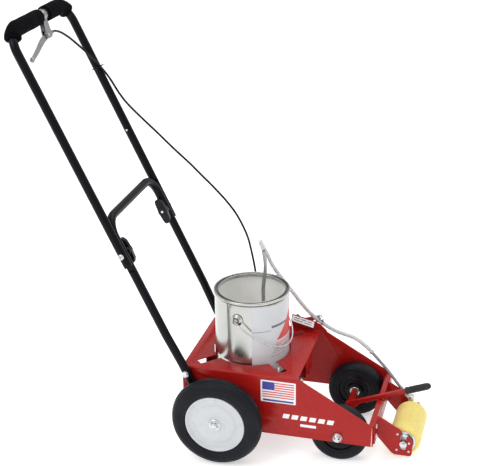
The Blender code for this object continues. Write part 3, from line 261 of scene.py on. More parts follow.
RED = (0.360, 0.0095, 0.0078)
PAINTS = {
    # The pale pink on the red's edges is a painted highlight.
    "red": surface(
        "red_powder_coat", "red", RED, 0.26, vary=0.03, spread=0.05,
        bumps=((480.0, 0.05, 0.00006, 1.0), (30.0, 0.03, 0.0003, 1.0)), edge_highlight=(0.50, 0.07, 0.055),
        fixed={"Specular_IOR_Level": 0.26},
    ),
    # The grey on the black tube's edges is a painted highlight.
    "black_tube": surface(
        "black_tube_paint", "black_tube", (0.0024, 0.0024, 0.0046), 0.26, vary=0.15, spread=0.06,
        bumps=((520.0, 0.04, 0.00010, 2.0),), edge_highlight=(0.03, 0.03, 0.035), edge_highlight_radius=0.0008,
        fixed={"Specular_IOR_Level": 0.13},
    ),
    "foam": foam_surface(),
    "tyre": surface(
        "tyre_rubber", "tyre", (0.0062, 0.0070, 0.0105), 0.50, vary=0.22, vary_scale=14.0, spread=0.10,
        bumps=((700.0, 0.20, 0.00012, 4.0), (60.0, 0.10, 0.0004, 3.0)),
        fixed={"Specular_IOR_Level": 0.17},
    ),
    "rubber": surface(
        "grip_rubber", "rubber", (0.010, 0.010, 0.012), 0.55, vary=0.15, spread=0.08,
        bumps=((800.0, 0.25, 0.00012, 3.0),),
    ),
    "zinc": surface(
        "zinc_plate", "zinc", (0.62, 0.63, 0.64), 0.28, metallic=1.0, vary=0.10, vary_scale=120.0,
        spread=0.08,
        smudge_scale=160.0, bumps=((900.0, 0.10, 0.00006, 3.0),),
    ),
    "tin": surface(
        "tin_plate", "tin", (0.47, 0.475, 0.455), 0.21, metallic=1.0, vary=0.03, vary_scale=18.0, spread=0.04,
        smudge_scale=26.0, bumps=((24.0, 0.10, 0.0006, 1.0), (700.0, 0.03, 0.00005, 2.0)),
    ),
    "lining": surface(
        "tin_lining", "tin", (0.92, 0.915, 0.89), 0.40, metallic=0.10, vary=0.05, vary_scale=20.0,
        spread=0.08,
        stretch=(1.0, 1.0, 0.25), bumps=((60.0, 0.05, 0.0003, 2.0),),
    ),
    # Dark tin for the rim's groove and the underside of its curl: painted shade.
    "groove": surface(
        "tin_rim_groove", "tin", (0.15, 0.15, 0.14), 0.35, metallic=0.7, vary=0.10, vary_scale=60.0,
        spread=0.08,
        bumps=((200.0, 0.05, 0.0002, 2.0),),
    ),
    "white": surface(
        "white_wheel_enamel", "white", (0.555, 0.575, 0.59), 0.30, vary=0.03, spread=0.06,
        bumps=((260.0, 0.05, 0.00015, 2.0),),
    ),
    "plastic": surface(
        "black_moulded_plastic", "plastic", (0.0045, 0.0045, 0.0062), 0.34, vary=0.15, spread=0.08,
        bumps=((1100.0, 0.16, 0.00008, 2.0),), fixed={"Specular_IOR_Level": 0.20},
    ),
    "aluminium": surface(
        "drawn_aluminium", "aluminium", (0.33, 0.33, 0.34), 0.30, metallic=1.0, vary=0.08, vary_scale=70.0,
        spread=0.07, bumps=((800.0, 0.10, 0.00006, 3.0),),
    ),
    "vinyl": surface(
        "clear_vinyl", "vinyl", (0.78, 0.79, 0.785), 0.22, vary=0.03, spread=0.06,
        bumps=((120.0, 0.05, 0.0003, 2.0),),
        fixed={"Transmission_Weight": 0.45, "IOR": 1.38, "Coat_Weight": 0.3, "Coat_Roughness": 0.12},
    ),
    "nap": nap_surface(),
    "paper": surface(
        "label_paper", "tin", (0.58, 0.60, 0.62), 0.42, vary=0.03, spread=0.05,
        bumps=((500.0, 0.05, 0.00006, 2.0),), fixed={"Coat_Weight": 0.25, "Coat_Roughness": 0.2},
    ),
}
for ink, slot, colour, vary, roughness in (
    ("white", "white", (0.82, 0.83, 0.85), 0.02, 0.38),
    ("red", "red", (0.64, 0.05, 0.045), 0.05, 0.38),
    ("blue", "white", (0.035, 0.045, 0.30), 0.05, 0.38),
    ("grey", "white", (0.13, 0.135, 0.15), 0.05, 0.42),
):
    PAINTS["print_" + ink] = surface(
        "printed_" + ink, slot, colour, roughness, vary=vary, bumps=((600.0, 0.04, 0.00005, 2.0),),
    )


# ---------------------------------------------------------------- building blocks

def transported(points):
    """(place, along, across, up) at each point, carried along the line without twist."""
    count = len(points)
    tangents = []
    for index in range(count):
        ahead = points[min(index + 1, count - 1)] - points[max(index - 1, 0)]
        tangents.append(ahead.normalized())
    seed = Vector((0.0, 0.0, 1.0)) if abs(tangents[0].z) < 0.9 else Vector((1.0, 0.0, 0.0))
    across = seed.cross(tangents[0]).normalized()
    frames = []
    for point, along in zip(points, tangents):
        across = (across - along * across.dot(along)).normalized()
        frames.append((point, along, across, along.cross(across)))
    return frames


def swept(shape, points, stations, sides=24, closed=False):
    """Adds a skin over rings, each (point's number, radius, shift along the line); radius 0 is a point."""
    frames = transported([Vector(point) for point in points])
    rings = []
    for index, radius, shift in stations:
        place, along, across, up = frames[index]
        centre = place + along * shift
        if radius < 1e-6:
            rings.append([shape.verts.new(centre)])
            continue
        ring = []
        for side in range(sides):
            angle = math.tau * side / sides
            ring.append(shape.verts.new(centre + (across * math.cos(angle) + up * math.sin(angle)) * radius))
        rings.append(ring)
    pairs = list(zip(rings, rings[1:]))
    if closed:
        pairs.append((rings[-1], rings[0]))
    for first, second in pairs:
        for side in range(sides):
            after = (side + 1) % sides
            if len(first) == 1 and len(second) == 1:
                continue
            if len(first) == 1:
                shape.faces.new((first[0], second[after], second[side]))
            elif len(second) == 1:
                shape.faces.new((first[side], first[after], second[0]))
            else:
                shape.faces.new((first[side], first[after], second[after], second[side]))


def lathe(shape, where, direction, profile, sides=64, closed=False):
    """Adds a turned body: (radius, height) points about a line from a place in a direction."""
    where = Vector(where)
    points = [where, where + Vector(direction).normalized()]
    swept(shape, points, [(0, radius, height) for radius, height in profile], sides, closed)


def tube(shape, points, radius, sides=24, edge=0.0006):
    """Adds a bar along the points with slightly rounded ends."""
    last = len(points) - 1
    end = [(0.0, 0.0), (radius - edge, 0.0), (radius - 0.3 * edge, 0.3 * edge), (radius, edge)]
    stations = [(0, size, shift) for size, shift in end]
    stations += [(index, radius, 0.0) for index in range(1, last)]
    stations += [(last, size, -shift) for size, shift in reversed(end)]
    swept(shape, points, stations, sides)


def arc(radius, height, size, start, end, steps=6):
    """(radius, height) points on an arc, its angles in degrees from outwards."""
    points = []
    for step in range(steps + 1):
        angle = math.radians(start + (end - start) * step / steps)
        points.append((radius + size * math.cos(angle), height + size * math.sin(angle)))
    return points


def block(shape, low, high, edge=0.0004, turn=None, about=(0.0, 0.0, 0.0)):
    """Adds a box between two corners with rounded edges."""
    low = Vector(low)
    high = Vector(high)
    made = bmesh.ops.create_cube(shape, size=1.0)["verts"]
    bmesh.ops.scale(shape, vec=high - low, verts=made)
    bmesh.ops.translate(shape, vec=(low + high) / 2, verts=made)
    edges = {line for vertex in made for line in vertex.link_edges}
    if edge > 0.0:
        bevel = bmesh.ops.bevel(shape, geom=list(edges), offset=edge, segments=2, profile=0.5, affect="EDGES")
        made = bevel["verts"]
    if turn is not None:
        bmesh.ops.rotate(shape, cent=Vector(about), matrix=turn, verts=made)


def slice_of(shape, outline, place, thickness, edge=0.0):
    """Adds a plate: the outline's (u, v) are placed in space and thickened along the plane's normal."""
    first = [Vector(place(u, v)) for u, v in outline]
    normal = Vector((0.0, 0.0, 0.0))
    for one, two in zip(first, first[1:] + first[:1]):
        normal += one.cross(two)
    normal.normalize()
    levels = ((0.0, 0.0), (0.0, thickness))
    if edge > 0.0:
        levels = ((edge, 0.0), (0.0, edge), (0.0, thickness - edge), (edge, thickness))
    middle = sum(first, Vector()) / len(first)
    rows = []
    for inset, lift in levels:
        inwards = [(middle - point).normalized() * inset for point in first]
        rows.append([shape.verts.new(point + step + normal * lift) for point, step in zip(first, inwards)])
    for one, two in zip(rows, rows[1:]):
        for index in range(len(one)):
            after = (index + 1) % len(one)
            shape.faces.new((one[index], one[after], two[after], two[index]))
    shape.faces.new(rows[0][::-1])
    shape.faces.new(rows[-1])


def piece(name, shape, paint, body=None, stands_for=(), degrees=35.0, row_frame=False):
    """The shape made an object in the row frame, painted, riding on its body."""
    bmesh.ops.recalc_face_normals(shape, faces=shape.faces)
    mesh = bpy.data.meshes.new(name)
    shape.to_mesh(mesh)
    shape.free()
    if not row_frame:
        mesh.transform(MACHINE)
    mesh.shade_smooth()
    mesh.set_sharp_from_angle(angle=math.radians(degrees))
    item = bpy.data.objects.new(name, mesh)
    bpy.context.scene.collection.objects.link(item)
    mesh.materials.append(PAINTS[paint].material)
    if stands_for:
        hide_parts(*stands_for)
    if body:
        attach(item, body)
    return item


def turned(name, paint, body, where, direction, profile, sides, node=None, degrees=35.0, closed=False):
    """A lathed shape made straight into a piece."""
    shape = bmesh.new()
    lathe(shape, where, direction, profile, sides, closed)
    return piece(name, shape, paint, body, (node,) if node else (), degrees=degrees)


def both_faces(half, outer, inner):
    """A closed wheel profile from one face's (radius, depth) points, mirrored to the other face."""
    profile = [(radius, outer - depth) for radius, depth in half]
    return profile + [(radius, inner + depth) for radius, depth in reversed(half)]


def applied(item):
    """A new mesh with the object's modifiers applied."""
    bpy.context.view_layer.update()
    evaluated = item.evaluated_get(bpy.context.evaluated_depsgraph_get())
    return bpy.data.meshes.new_from_object(evaluated)


def refined(node, paint, body, width=0.0004, segments=2):
    """A copy of a CAD node's mesh with its sharp edges rounded, in the node's place."""
    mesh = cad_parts[node].data.copy()
    shape = bmesh.new()
    shape.from_mesh(mesh)
    bmesh.ops.remove_doubles(shape, verts=shape.verts, dist=0.000002)
    bmesh.ops.dissolve_limit(
        shape, angle_limit=math.radians(0.6), use_dissolve_boundaries=False,
        verts=shape.verts, edges=shape.edges,
    )
    shape.to_mesh(mesh)
    shape.free()
    source = bpy.data.objects.new(node + "_source", mesh)
    bpy.context.scene.collection.objects.link(source)
    bevel = source.modifiers.new("edges", "BEVEL")
    bevel.width = width
    bevel.segments = segments
    bevel.limit_method = "ANGLE"
    bevel.angle_limit = math.radians(38)
    bevel.use_clamp_overlap = True
    rounded_mesh = applied(source)
    bpy.data.objects.remove(source, do_unlink=True)
    shape = bmesh.new()
    shape.from_mesh(rounded_mesh)
    bpy.data.meshes.remove(rounded_mesh)
    item = piece(node + "_finished", shape, paint, body, (node,), degrees=38.0, row_frame=True)
    while len(item.data.materials) > 1:
        item.data.materials.pop(index=0)
    return item


def each_side():
    return (("left", 1.0), ("right", -1.0))


def handle_point(y, s, front=0.0):
    return HANDLE_ORIGIN + Vector((0.0, y, 0.0)) + HANDLE_UP * s + HANDLE_FRONT * front


def smooth_route(route, count):
    """Evenly spaced points on a Catmull-Rom curve through the route's points."""
    route = [Vector(point) for point in route]
    padded = [2 * route[0] - route[1], *route, 2 * route[-1] - route[-2]]
    fine = []
    for index in range(1, len(padded) - 2):
        before, start, end, after = padded[index - 1:index + 3]
        for step in range(24):
            t = step / 24
            fine.append(0.5 * (
                2 * start
                + (end - before) * t
                + (2 * before - 5 * start + 4 * end - after) * t * t
                + (3 * start - before - 3 * end + after) * t * t * t
            ))
    fine.append(route[-1])
    travel = [0.0]
    for first, second in zip(fine, fine[1:]):
        travel.append(travel[-1] + (second - first).length)
    points = []
    index = 0
    for step in range(count):
        target = travel[-1] * step / (count - 1)
        while index < len(travel) - 2 and travel[index + 1] < target:
            index += 1
        share = (target - travel[index]) / (travel[index + 1] - travel[index])
        points.append(fine[index].lerp(fine[index + 1], min(1.0, share)))
    return points


# ---------------------------------------------------------------- camera, floor and light

CAMERA_AZIMUTH = math.radians(15.9261)
CAMERA_ELEVATION = math.radians(22.8335)
CAMERA_ROLL = math.radians(-0.9061)
CAMERA_PLACE = (0.6819, -2.3152, 1.4925)
LENS = 88.93


def make_camera():
    azimuth, elevation, roll = CAMERA_AZIMUTH, CAMERA_ELEVATION, CAMERA_ROLL
    back = Vector((
        math.sin(azimuth) * math.cos(elevation),
        -math.cos(azimuth) * math.cos(elevation),
        math.sin(elevation),
    ))
    right = (-back).cross(Vector((0.0, 0.0, 1.0))).normalized()
    up = right.cross(-back)
    rolled_right = math.cos(roll) * right + math.sin(roll) * up
    rolled_up = -math.sin(roll) * right + math.cos(roll) * up
    pose = Matrix.Identity(4)
    for column, axis in enumerate((rolled_right, rolled_up, back)):
        pose.col[column] = (*axis, 0.0)
    pose.col[3] = (*CAMERA_PLACE, 1.0)
    data = bpy.data.cameras.new("camera")
    data.sensor_fit = "HORIZONTAL"
    data.sensor_width = 36.0
    data.lens = LENS
    camera = bpy.data.objects.new("camera", data)
    bpy.context.scene.collection.objects.link(camera)
    camera.matrix_world = MACHINE @ pose
    bpy.context.scene.camera = camera


def make_stage():
    shape = bmesh.new()
    bmesh.ops.create_grid(shape, x_segments=1, y_segments=1, size=20.0)
    mesh = bpy.data.meshes.new("floor")
    shape.to_mesh(mesh)
    shape.free()
    floor = bpy.data.objects.new("floor", mesh)
    bpy.context.scene.collection.objects.link(floor)
    material = bpy.data.materials.new("pale_floor")
    material.use_nodes = True
    shader = material.node_tree.nodes["Principled BSDF"]
    shader.inputs["Base Color"].default_value = (0.90, 0.90, 0.90, 1.0)
    shader.inputs["Roughness"].default_value = 0.9
    shader.inputs["Specular IOR Level"].default_value = 0.1
    shader.inputs["Emission Color"].default_value = (1.0, 1.0, 1.0, 1.0)
    shader.inputs["Emission Strength"].default_value = 0.42
    mesh.materials.append(material)


def make_light():
    world = bpy.data.worlds.new("studio")
    world.use_nodes = True
    tree = world.node_tree
    sky = tree.nodes["Background"]
    coordinates = tree.nodes.new("ShaderNodeTexCoord")
    split = tree.nodes.new("ShaderNodeSeparateXYZ")
    ramp = tree.nodes.new("ShaderNodeValToRGB")
    ramp.color_ramp.elements[0].position = 0.0
    ramp.color_ramp.elements[0].color = (0.84, 0.845, 0.86, 1.0)
    ramp.color_ramp.elements[1].position = 0.75
    ramp.color_ramp.elements[1].color = (1.0, 1.0, 1.0, 1.0)
    tree.links.new(coordinates.outputs["Generated"], split.inputs["Vector"])
    tree.links.new(split.outputs["Z"], ramp.inputs["Fac"])
    tree.links.new(ramp.outputs["Color"], sky.inputs["Color"])
    sky.inputs["Strength"].default_value = 0.88
    bpy.context.scene.world = world
    for name, where, aim_at, size, power in (
        ("key", (-1.3, -1.9, 2.6), (0.0, 0.0, 0.3), 1.6, 26.0),
        ("top", (0.5, 0.9, 2.8), (0.0, 0.0, 0.2), 2.0, 22.0),
    ):
        data = bpy.data.lights.new(name, "AREA")
        data.shape = "SQUARE"
        data.size = size
        data.energy = power
        lamp = bpy.data.objects.new(name, data)
        bpy.context.scene.collection.objects.link(lamp)
        lamp.location = where
        lamp.rotation_euler = (Vector(where) - Vector(aim_at)).to_track_quat("Z", "Y").to_euler()
    bpy.context.scene.view_settings.view_transform = "Standard"


# ---------------------------------------------------------------- cords

def cable_route():
    return [
        handle_point(0.0291, 0.5450),
        handle_point(0.0444, 0.5440),
        handle_point(0.0619, 0.5370),
        handle_point(0.0776, 0.5265),
        handle_point(0.0930, 0.5130),
        handle_point(0.1120, 0.4860, 0.0030),
        handle_point(0.1270, 0.4570, 0.0080),
        handle_point(0.1390, 0.4260, 0.0120),
        handle_point(0.1470, 0.3960, 0.0150),
        (-0.3049, 0.1470, 0.7235),
        (-0.2770, 0.1420, 0.6960),
        (-0.2212, 0.1340, 0.6505),
        (-0.1743, 0.1300, 0.6100),
        (-0.1410, 0.1270, 0.5830),
        (-0.1107, 0.1240, 0.5560),
        (-0.0803, 0.1210, 0.5290),
        (-0.0499, 0.1180, 0.4988),
        (-0.0256, 0.1150, 0.4681),
        (-0.0044, 0.1120, 0.4274),
        (0.0061, 0.1100, 0.3915),
        (0.0157, 0.1085, 0.3420),
        (0.0190, 0.1095, 0.3000),
        (0.0270, 0.1135, 0.2600),
        (0.0430, 0.1170, 0.2345),
        (0.0580, 0.1188, 0.2248),
        (0.0685, 0.1190, 0.2240),
    ]


HOSE_ROUTE = [
    (0.0553, 0.0303, 0.4302), (0.0535, 0.0314, 0.4358), (0.0505, 0.0345, 0.4415), (0.0478, 0.0420, 0.4430),
    (0.0483, 0.0520, 0.4320), (0.0532, 0.0600, 0.4139), (0.0579, 0.0680, 0.3968), (0.0621, 0.0740, 0.3807),
    (0.0704, 0.0830, 0.3594), (0.0806, 0.0910, 0.3392), (0.0918, 0.0990, 0.3186), (0.1042, 0.1070, 0.2976),
    (0.1161, 0.1130, 0.2773), (0.1283, 0.1180, 0.2587), (0.1408, 0.1210, 0.2433), (0.1520, 0.1230, 0.2313),
    (0.1618, 0.1235, 0.2232), (0.1718, 0.1240, 0.2169), (0.1841, 0.1240, 0.2094), (0.1983, 0.1240, 0.2024),
    (0.2129, 0.1220, 0.1985), (0.2298, 0.1200, 0.1954), (0.2446, 0.1160, 0.1937), (0.2593, 0.1100, 0.1904),
    (0.2718, 0.1050, 0.1847), (0.2800, 0.1022, 0.1795), (0.2880, 0.1001, 0.1740),
]
HOSE_POINTS = 121
HOSE_PINCH = 74  # the valve's nose presses here, and the two halves of the hose meet


def hose_skin(shape, points, bore):
    """A hollow hose wall: out along the outside, back along the bore."""
    last = len(points) - 1
    stations = [(index, HOSE_RADIUS, 0.0) for index in range(last + 1)]
    stations += [(index, bore, 0.0) for index in range(last, -1, -1)]
    swept(shape, points, stations, 20, closed=True)


def cords():
    path = smooth_route(cable_route(), 150)
    shape = bmesh.new()
    tube(shape, path, CABLE_RADIUS, 16, 0.0004)
    cable = piece("cable_casing", shape, "plastic", None, ("control_cable",))
    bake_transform(cable)
    whole = smooth_route(HOSE_ROUTE, HOSE_POINTS)
    for name, points, bodies in (
        ("hose_upper", whole[:HOSE_PINCH + 1], ("can", "chassis")),
        ("hose_lower", whole[HOSE_PINCH:], ("chassis", "roller_carriage")),
    ):
        shape = bmesh.new()
        hose_skin(shape, points, 0.0031)
        hose = piece(name, shape, "vinyl", None, ("supply_hose",))
        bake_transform(hose)


# ---------------------------------------------------------------- wheels

def rear_wheel(side_name, side):
    where = (0.0, 0.0, REAR_WHEEL_RADIUS)
    out = (0.0, side, 0.0)
    body = f"rear_wheel_{side_name}"
    inner = REAR_TYRE_INNER_Y
    outer = inner + REAR_TYRE_WIDTH
    rim = REAR_DISC_RADIUS + GAP
    half = [
        (rim, 0.0045), (0.0680, 0.0026), (0.0700, 0.0014), (0.0740, 0.0004), (0.0776, 0.0002),
        (0.0788, 0.0009), (0.0802, 0.0009), (0.0814, 0.0002), (0.0860, 0.0006), (0.0905, 0.0020),
        (0.0940, 0.0042), (0.0968, 0.0070), (0.0987, 0.0100), (0.0998, 0.0128), (0.0990, 0.0135),
        (0.0991, 0.0142), (0.1006, 0.0150), (0.1013, 0.0175), (REAR_WHEEL_RADIUS, 0.0192),
    ]
    node = f"rear_tyre_{side_name}"
    tyre = both_faces(half, outer, inner)
    turned(node + "_moulded", "tyre", body, where, out, tyre, 96, node, degrees=30.0, closed=True)
    face = outer - 0.0045
    bore = AXLE_RADIUS + GAP
    disc = [
        (bore, face + 0.0012), (0.0150, face + 0.0012), (0.0165, face + 0.0004), (0.0180, face - 0.0006),
        (0.0300, face - 0.0010), (0.0400, face - 0.0012), (0.0428, face - 0.0016), (0.0455, face - 0.0030),
        (0.0480, face - 0.0042), (0.0510, face - 0.0048), (0.0545, face - 0.0046), (0.0580, face - 0.0034),
        (0.0610, face - 0.0008), (0.0628, face + 0.0013), (0.0640, face + 0.0021), (0.0652, face + 0.0022),
        (REAR_DISC_RADIUS, face + 0.0014), (REAR_DISC_RADIUS, inner + 0.0064), (0.0655, inner + 0.0056),
        (0.0625, inner + 0.0060), (0.0612, face - 0.0095), (0.0192, face - 0.0085), (0.0180, inner + 0.0035),
        (0.0170, inner + 0.0025), (bore, inner + 0.0025),
    ]
    node = f"rear_wheel_{side_name}"
    turned(node + "_disc", "white", body, where, out, disc, 96, node, degrees=50.0, closed=True)
    tip = REAR_AXLE_TIP
    base = face + 0.0018
    cap = [
        (0.0, tip + 0.0036), (0.0030, tip + 0.0035), (0.0050, tip + 0.0030), (0.0064, tip + 0.0018),
        (0.0070, tip - 0.0004), (0.0074, base + 0.0016), (0.0082, base + 0.0010), (0.0098, base + 0.0011),
        (0.0112, base + 0.0020), (0.0126, base + 0.0020), (0.0135, base + 0.0010), (0.0134, base),
        (bore, base), (bore, tip + GAP), (0.0, tip + GAP),
    ]
    shape = bmesh.new()
    lathe(shape, where, out, cap, 48)
    for number in range(4):
        turn = Matrix.Rotation(math.tau * (number + 0.35) / 4, 4, "Y")
        y = side * (base + 0.0016)
        low = Vector(where) + Vector((0.0080, min(y, y + side * 0.0009), -0.0016))
        high = Vector(where) + Vector((0.0110, max(y, y + side * 0.0009), 0.0016))
        block(shape, low, high, 0.0003, turn, where)
    piece(f"rear_hub_cap_{side_name}_pressed", shape, "zinc", "chassis", (f"rear_hub_cap_{side_name}",))


def front_wheel(side_name, side):
    where = (FRONT_WHEEL_X, 0.0, FRONT_WHEEL_Z)
    out = (0.0, side, 0.0)
    body = f"front_wheel_{side_name}"
    inner = FRONT_WHEEL_INNER_Y
    outer = inner + FRONT_WHEEL_WIDTH
    seat = FRONT_HUB_RADIUS + GAP
    half = [
        (seat, 0.0016), (0.0445, 0.0008), (0.0470, 0.0004), (0.0490, 0.0003), (0.0498, 0.0010),
        (0.0508, 0.0010), (0.0516, 0.0003), (0.0560, 0.0006), (0.0590, 0.0018), (0.0612, 0.0040),
        (0.0625, 0.0066),
        (0.0632, 0.0094), (FRONT_WHEEL_RADIUS, 0.0120),
    ]
    node = f"front_tyre_{side_name}"
    tyre = both_faces(half, outer, inner)
    turned(node + "_moulded", "tyre", body, where, out, tyre, 80, node, degrees=30.0, closed=True)
    bore = 0.0115 + GAP
    rings = [
        (bore, 0.0010), (0.0165, 0.0010), (0.0178, 0.0018), (0.0190, 0.0060), (0.0205, 0.0076),
        (0.0250, 0.0080), (0.0262, 0.0068), (0.0276, 0.0068), (0.0288, 0.0080), (0.0340, 0.0078),
        (0.0362, 0.0070), (0.0378, 0.0040), (0.0390, 0.0022), (0.0405, 0.0016),
        (FRONT_HUB_RADIUS - 0.0006, 0.0018), (FRONT_HUB_RADIUS, 0.0026),
    ]
    node = f"front_hub_{side_name}"
    hub = both_faces(rings, outer, inner)
    turned(node + "_moulded", "plastic", body, where, out, hub, 72, node, degrees=30.0, closed=True)
    shaft = AXLE_RADIUS + GAP
    low = inner - 0.0012
    high = outer + 0.0015
    bush = [
        (shaft, high - 0.0004), (shaft + 0.0004, high), (0.0108, high), (0.0115, high - 0.0007),
        (0.0115, low + 0.0007), (0.0108, low), (shaft + 0.0004, low), (shaft, low + 0.0004),
    ]
    node = f"front_bush_{side_name}"
    turned(node + "_plated", "zinc", body, where, out, bush, 40, node, closed=True)
    base = CHASSIS_HALF_WIDTH + GAP
    nut = [
        (shaft, base + 0.0070), (0.0078, base + 0.0078), (0.0090, base + 0.0070), (0.0099, base + 0.0052),
        (0.0104, base + 0.0030), (0.0112, base + 0.0022), (0.0114, base + 0.0008), (0.0110, base),
        (shaft, base),
    ]
    node = f"front_axle_nut_{side_name}"
    turned(node + "_plated", "zinc", "chassis", where, out, nut, 40, node, closed=True)
    shape = bmesh.new()
    for offset in (-0.0042, 0.0042):
        y = side * (base + 0.0079)
        low_corner = (FRONT_WHEEL_X + offset - 0.0015, min(y, y + side * 0.0008), FRONT_WHEEL_Z - 0.0003)
        high_corner = (FRONT_WHEEL_X + offset + 0.0015, max(y, y + side * 0.0008), FRONT_WHEEL_Z + 0.0030)
        block(shape, low_corner, high_corner, 0.0003)
    piece(f"front_axle_tabs_{side_name}", shape, "plastic", "chassis")


# ---------------------------------------------------------------- handle

def hoop(legs, top, bend, steps=18, leg_points=10):
    """Centre line of an upside-down U in the handle's plane; legs are (half width, s) from the foot up."""
    half_width = legs[-1][0]
    corner_y = half_width - bend
    corner_s = top - bend
    side = []
    for (y0, s0), (y1, s1) in zip(legs, legs[1:] + [(half_width, corner_s)]):
        for step in range(leg_points):
            share = step / leg_points
            side.append((y0 + (y1 - y0) * share, s0 + (s1 - s0) * share))
    flat_points = [(-y, s) for y, s in side]
    for step in range(steps + 1):
        angle = math.pi / 2 * step / steps
        flat_points.append((-corner_y - bend * math.cos(angle), corner_s + bend * math.sin(angle)))
    for step in range(1, 8):
        flat_points.append((-corner_y + 2 * corner_y * step / 8, top))
    for step in range(steps + 1):
        angle = math.pi / 2 * step / steps
        flat_points.append((corner_y + bend * math.sin(angle), corner_s + bend * math.cos(angle)))
    flat_points.extend((y, s) for y, s in reversed(side))
    return [handle_point(y, s) for y, s in flat_points]


def press_flat(shape, outward):
    """Presses the tube's side flat at the nest plane, where the two hoops lie against each other."""
    for vertex in shape.verts:
        s = (vertex.co - HANDLE_ORIGIN).dot(HANDLE_UP)
        if not NEST_FOOT_S < s < NEST_TOP_S:
            continue
        side = math.copysign(1.0, vertex.co.y)
        if outward and abs(vertex.co.y) > NEST_Y - GAP:
            vertex.co.y = side * (NEST_Y - GAP)
        if not outward and abs(vertex.co.y) < NEST_Y + GAP:
            vertex.co.y = side * (NEST_Y + GAP)


def drilled(item, holes):
    """Cuts round holes, each (start, end, radius) in the machine's frame, and keeps the cut mesh."""
    shape = bmesh.new()
    for start, end, radius in holes:
        swept(shape, [start, end], [(0, 0.0, 0.0), (0, radius, 0.0), (1, radius, 0.0), (1, 0.0, 0.0)], 20)
    bmesh.ops.recalc_face_normals(shape, faces=shape.faces)
    mesh = bpy.data.meshes.new("drill")
    shape.to_mesh(mesh)
    shape.free()
    mesh.transform(MACHINE)
    drill = bpy.data.objects.new("drill", mesh)
    bpy.context.scene.collection.objects.link(drill)
    boolean = item.modifiers.new("holes", "BOOLEAN")
    boolean.operation = "DIFFERENCE"
    boolean.solver = "EXACT"
    boolean.object = drill
    cut = applied(item)
    item.modifiers.remove(boolean)
    bpy.data.objects.remove(drill, do_unlink=True)
    cut.shade_smooth()
    cut.set_sharp_from_angle(angle=math.radians(35))
    item.data = cut
    return item


def handle():
    legs = [(FOOT_TUBE_Y, -0.318), (FOOT_TUBE_Y, -0.205)]
    legs += [(LOWER_TUBE_Y, -0.130), (LOWER_TUBE_Y, 0.020), (LOWER_TUBE_Y, 0.034)]
    shape = bmesh.new()
    tube(shape, hoop(legs, 0.151, 0.040), TUBE_RADIUS, 28, 0.0010)
    press_flat(shape, True)
    piece("lower_hoop", shape, "black_tube", "chassis", ("lower_handle",), degrees=40.0)
    legs = [(UPPER_TUBE_Y, 0.043), (UPPER_TUBE_Y, 0.138), (UPPER_TUBE_Y, 0.154)]
    shape = bmesh.new()
    tube(shape, hoop(legs, UPPER_TOP_S, UPPER_BEND), TUBE_RADIUS, 28, 0.0010)
    press_flat(shape, False)
    upper = piece("upper_hoop", shape, "black_tube", "push_handle", ("upper_handle",), degrees=40.0)
    drilled(upper, [(handle_point(0.13, 0.273), handle_point(0.16, 0.273), 0.0032)])
    for side_name, side in each_side():
        foam_grip(side_name, side)
        knob_bolt(side_name, side)
        foot_bolt(f"handle_bolt_{side_name}", side, -0.2290)
        foot_bolt(f"handle_lower_bolt_{side_name}", side, -0.2990)
        refined(f"wing_knob_{side_name}", "plastic", f"wing_knob_{side_name}", 0.0016, 3)


def foam_grip(side_name, side):
    """Foam sleeve along half of the push bar and round its corner, its skin a little uneven."""
    start_y = 0.0035 if side < 0 else 0.0330
    corner_y = UPPER_TUBE_Y - UPPER_BEND
    corner_s = UPPER_TOP_S - UPPER_BEND
    flat_points = []
    for step in range(12):
        share = step / 12
        flat_points.append((start_y + (side * corner_y - start_y) * share, UPPER_TOP_S))
    for step in range(13):
        angle = math.radians(90) * 4 / 7 * step / 12
        turned_y = side * (corner_y + UPPER_BEND * math.sin(angle))
        flat_points.append((turned_y, corner_s + UPPER_BEND * math.cos(angle)))
    points = smooth_route([handle_point(y, s) for y, s in flat_points], 44)
    last = len(points) - 1
    bore = TUBE_RADIUS + 0.0008
    outer = GRIP_RADIUS - 0.0002
    ends = [(bore + 0.0008, 0.0), (outer - 0.0042, 0.0), (outer - 0.0022, 0.0006), (outer - 0.0008, 0.0019)]
    stations = [(0, radius, shift) for radius, shift in ends]
    stations += [(index, outer, 0.0) for index in range(1, last)]
    stations += [(last, radius, -shift) for radius, shift in reversed(ends)]
    stations += [(index, bore, 0.0) for index in range(last, -1, -2)] + [(0, bore, 0.0)]
    shape = bmesh.new()
    swept(shape, points, stations, 36, closed=True)
    for vertex in shape.verts:
        centre = min(points, key=lambda point: (point - vertex.co).length_squared)
        arm = vertex.co - centre
        if arm.length > bore + 0.002:
            wave = noise.noise(vertex.co * 45.0) * 0.0007 + noise.noise(vertex.co * 160.0) * 0.00025
            vertex.co += arm.normalized() * (wave - 0.0003)
    grip = piece(f"foam_grip_{side_name}", shape, "foam", "push_handle", (f"grip_{side_name}",), degrees=60.0)


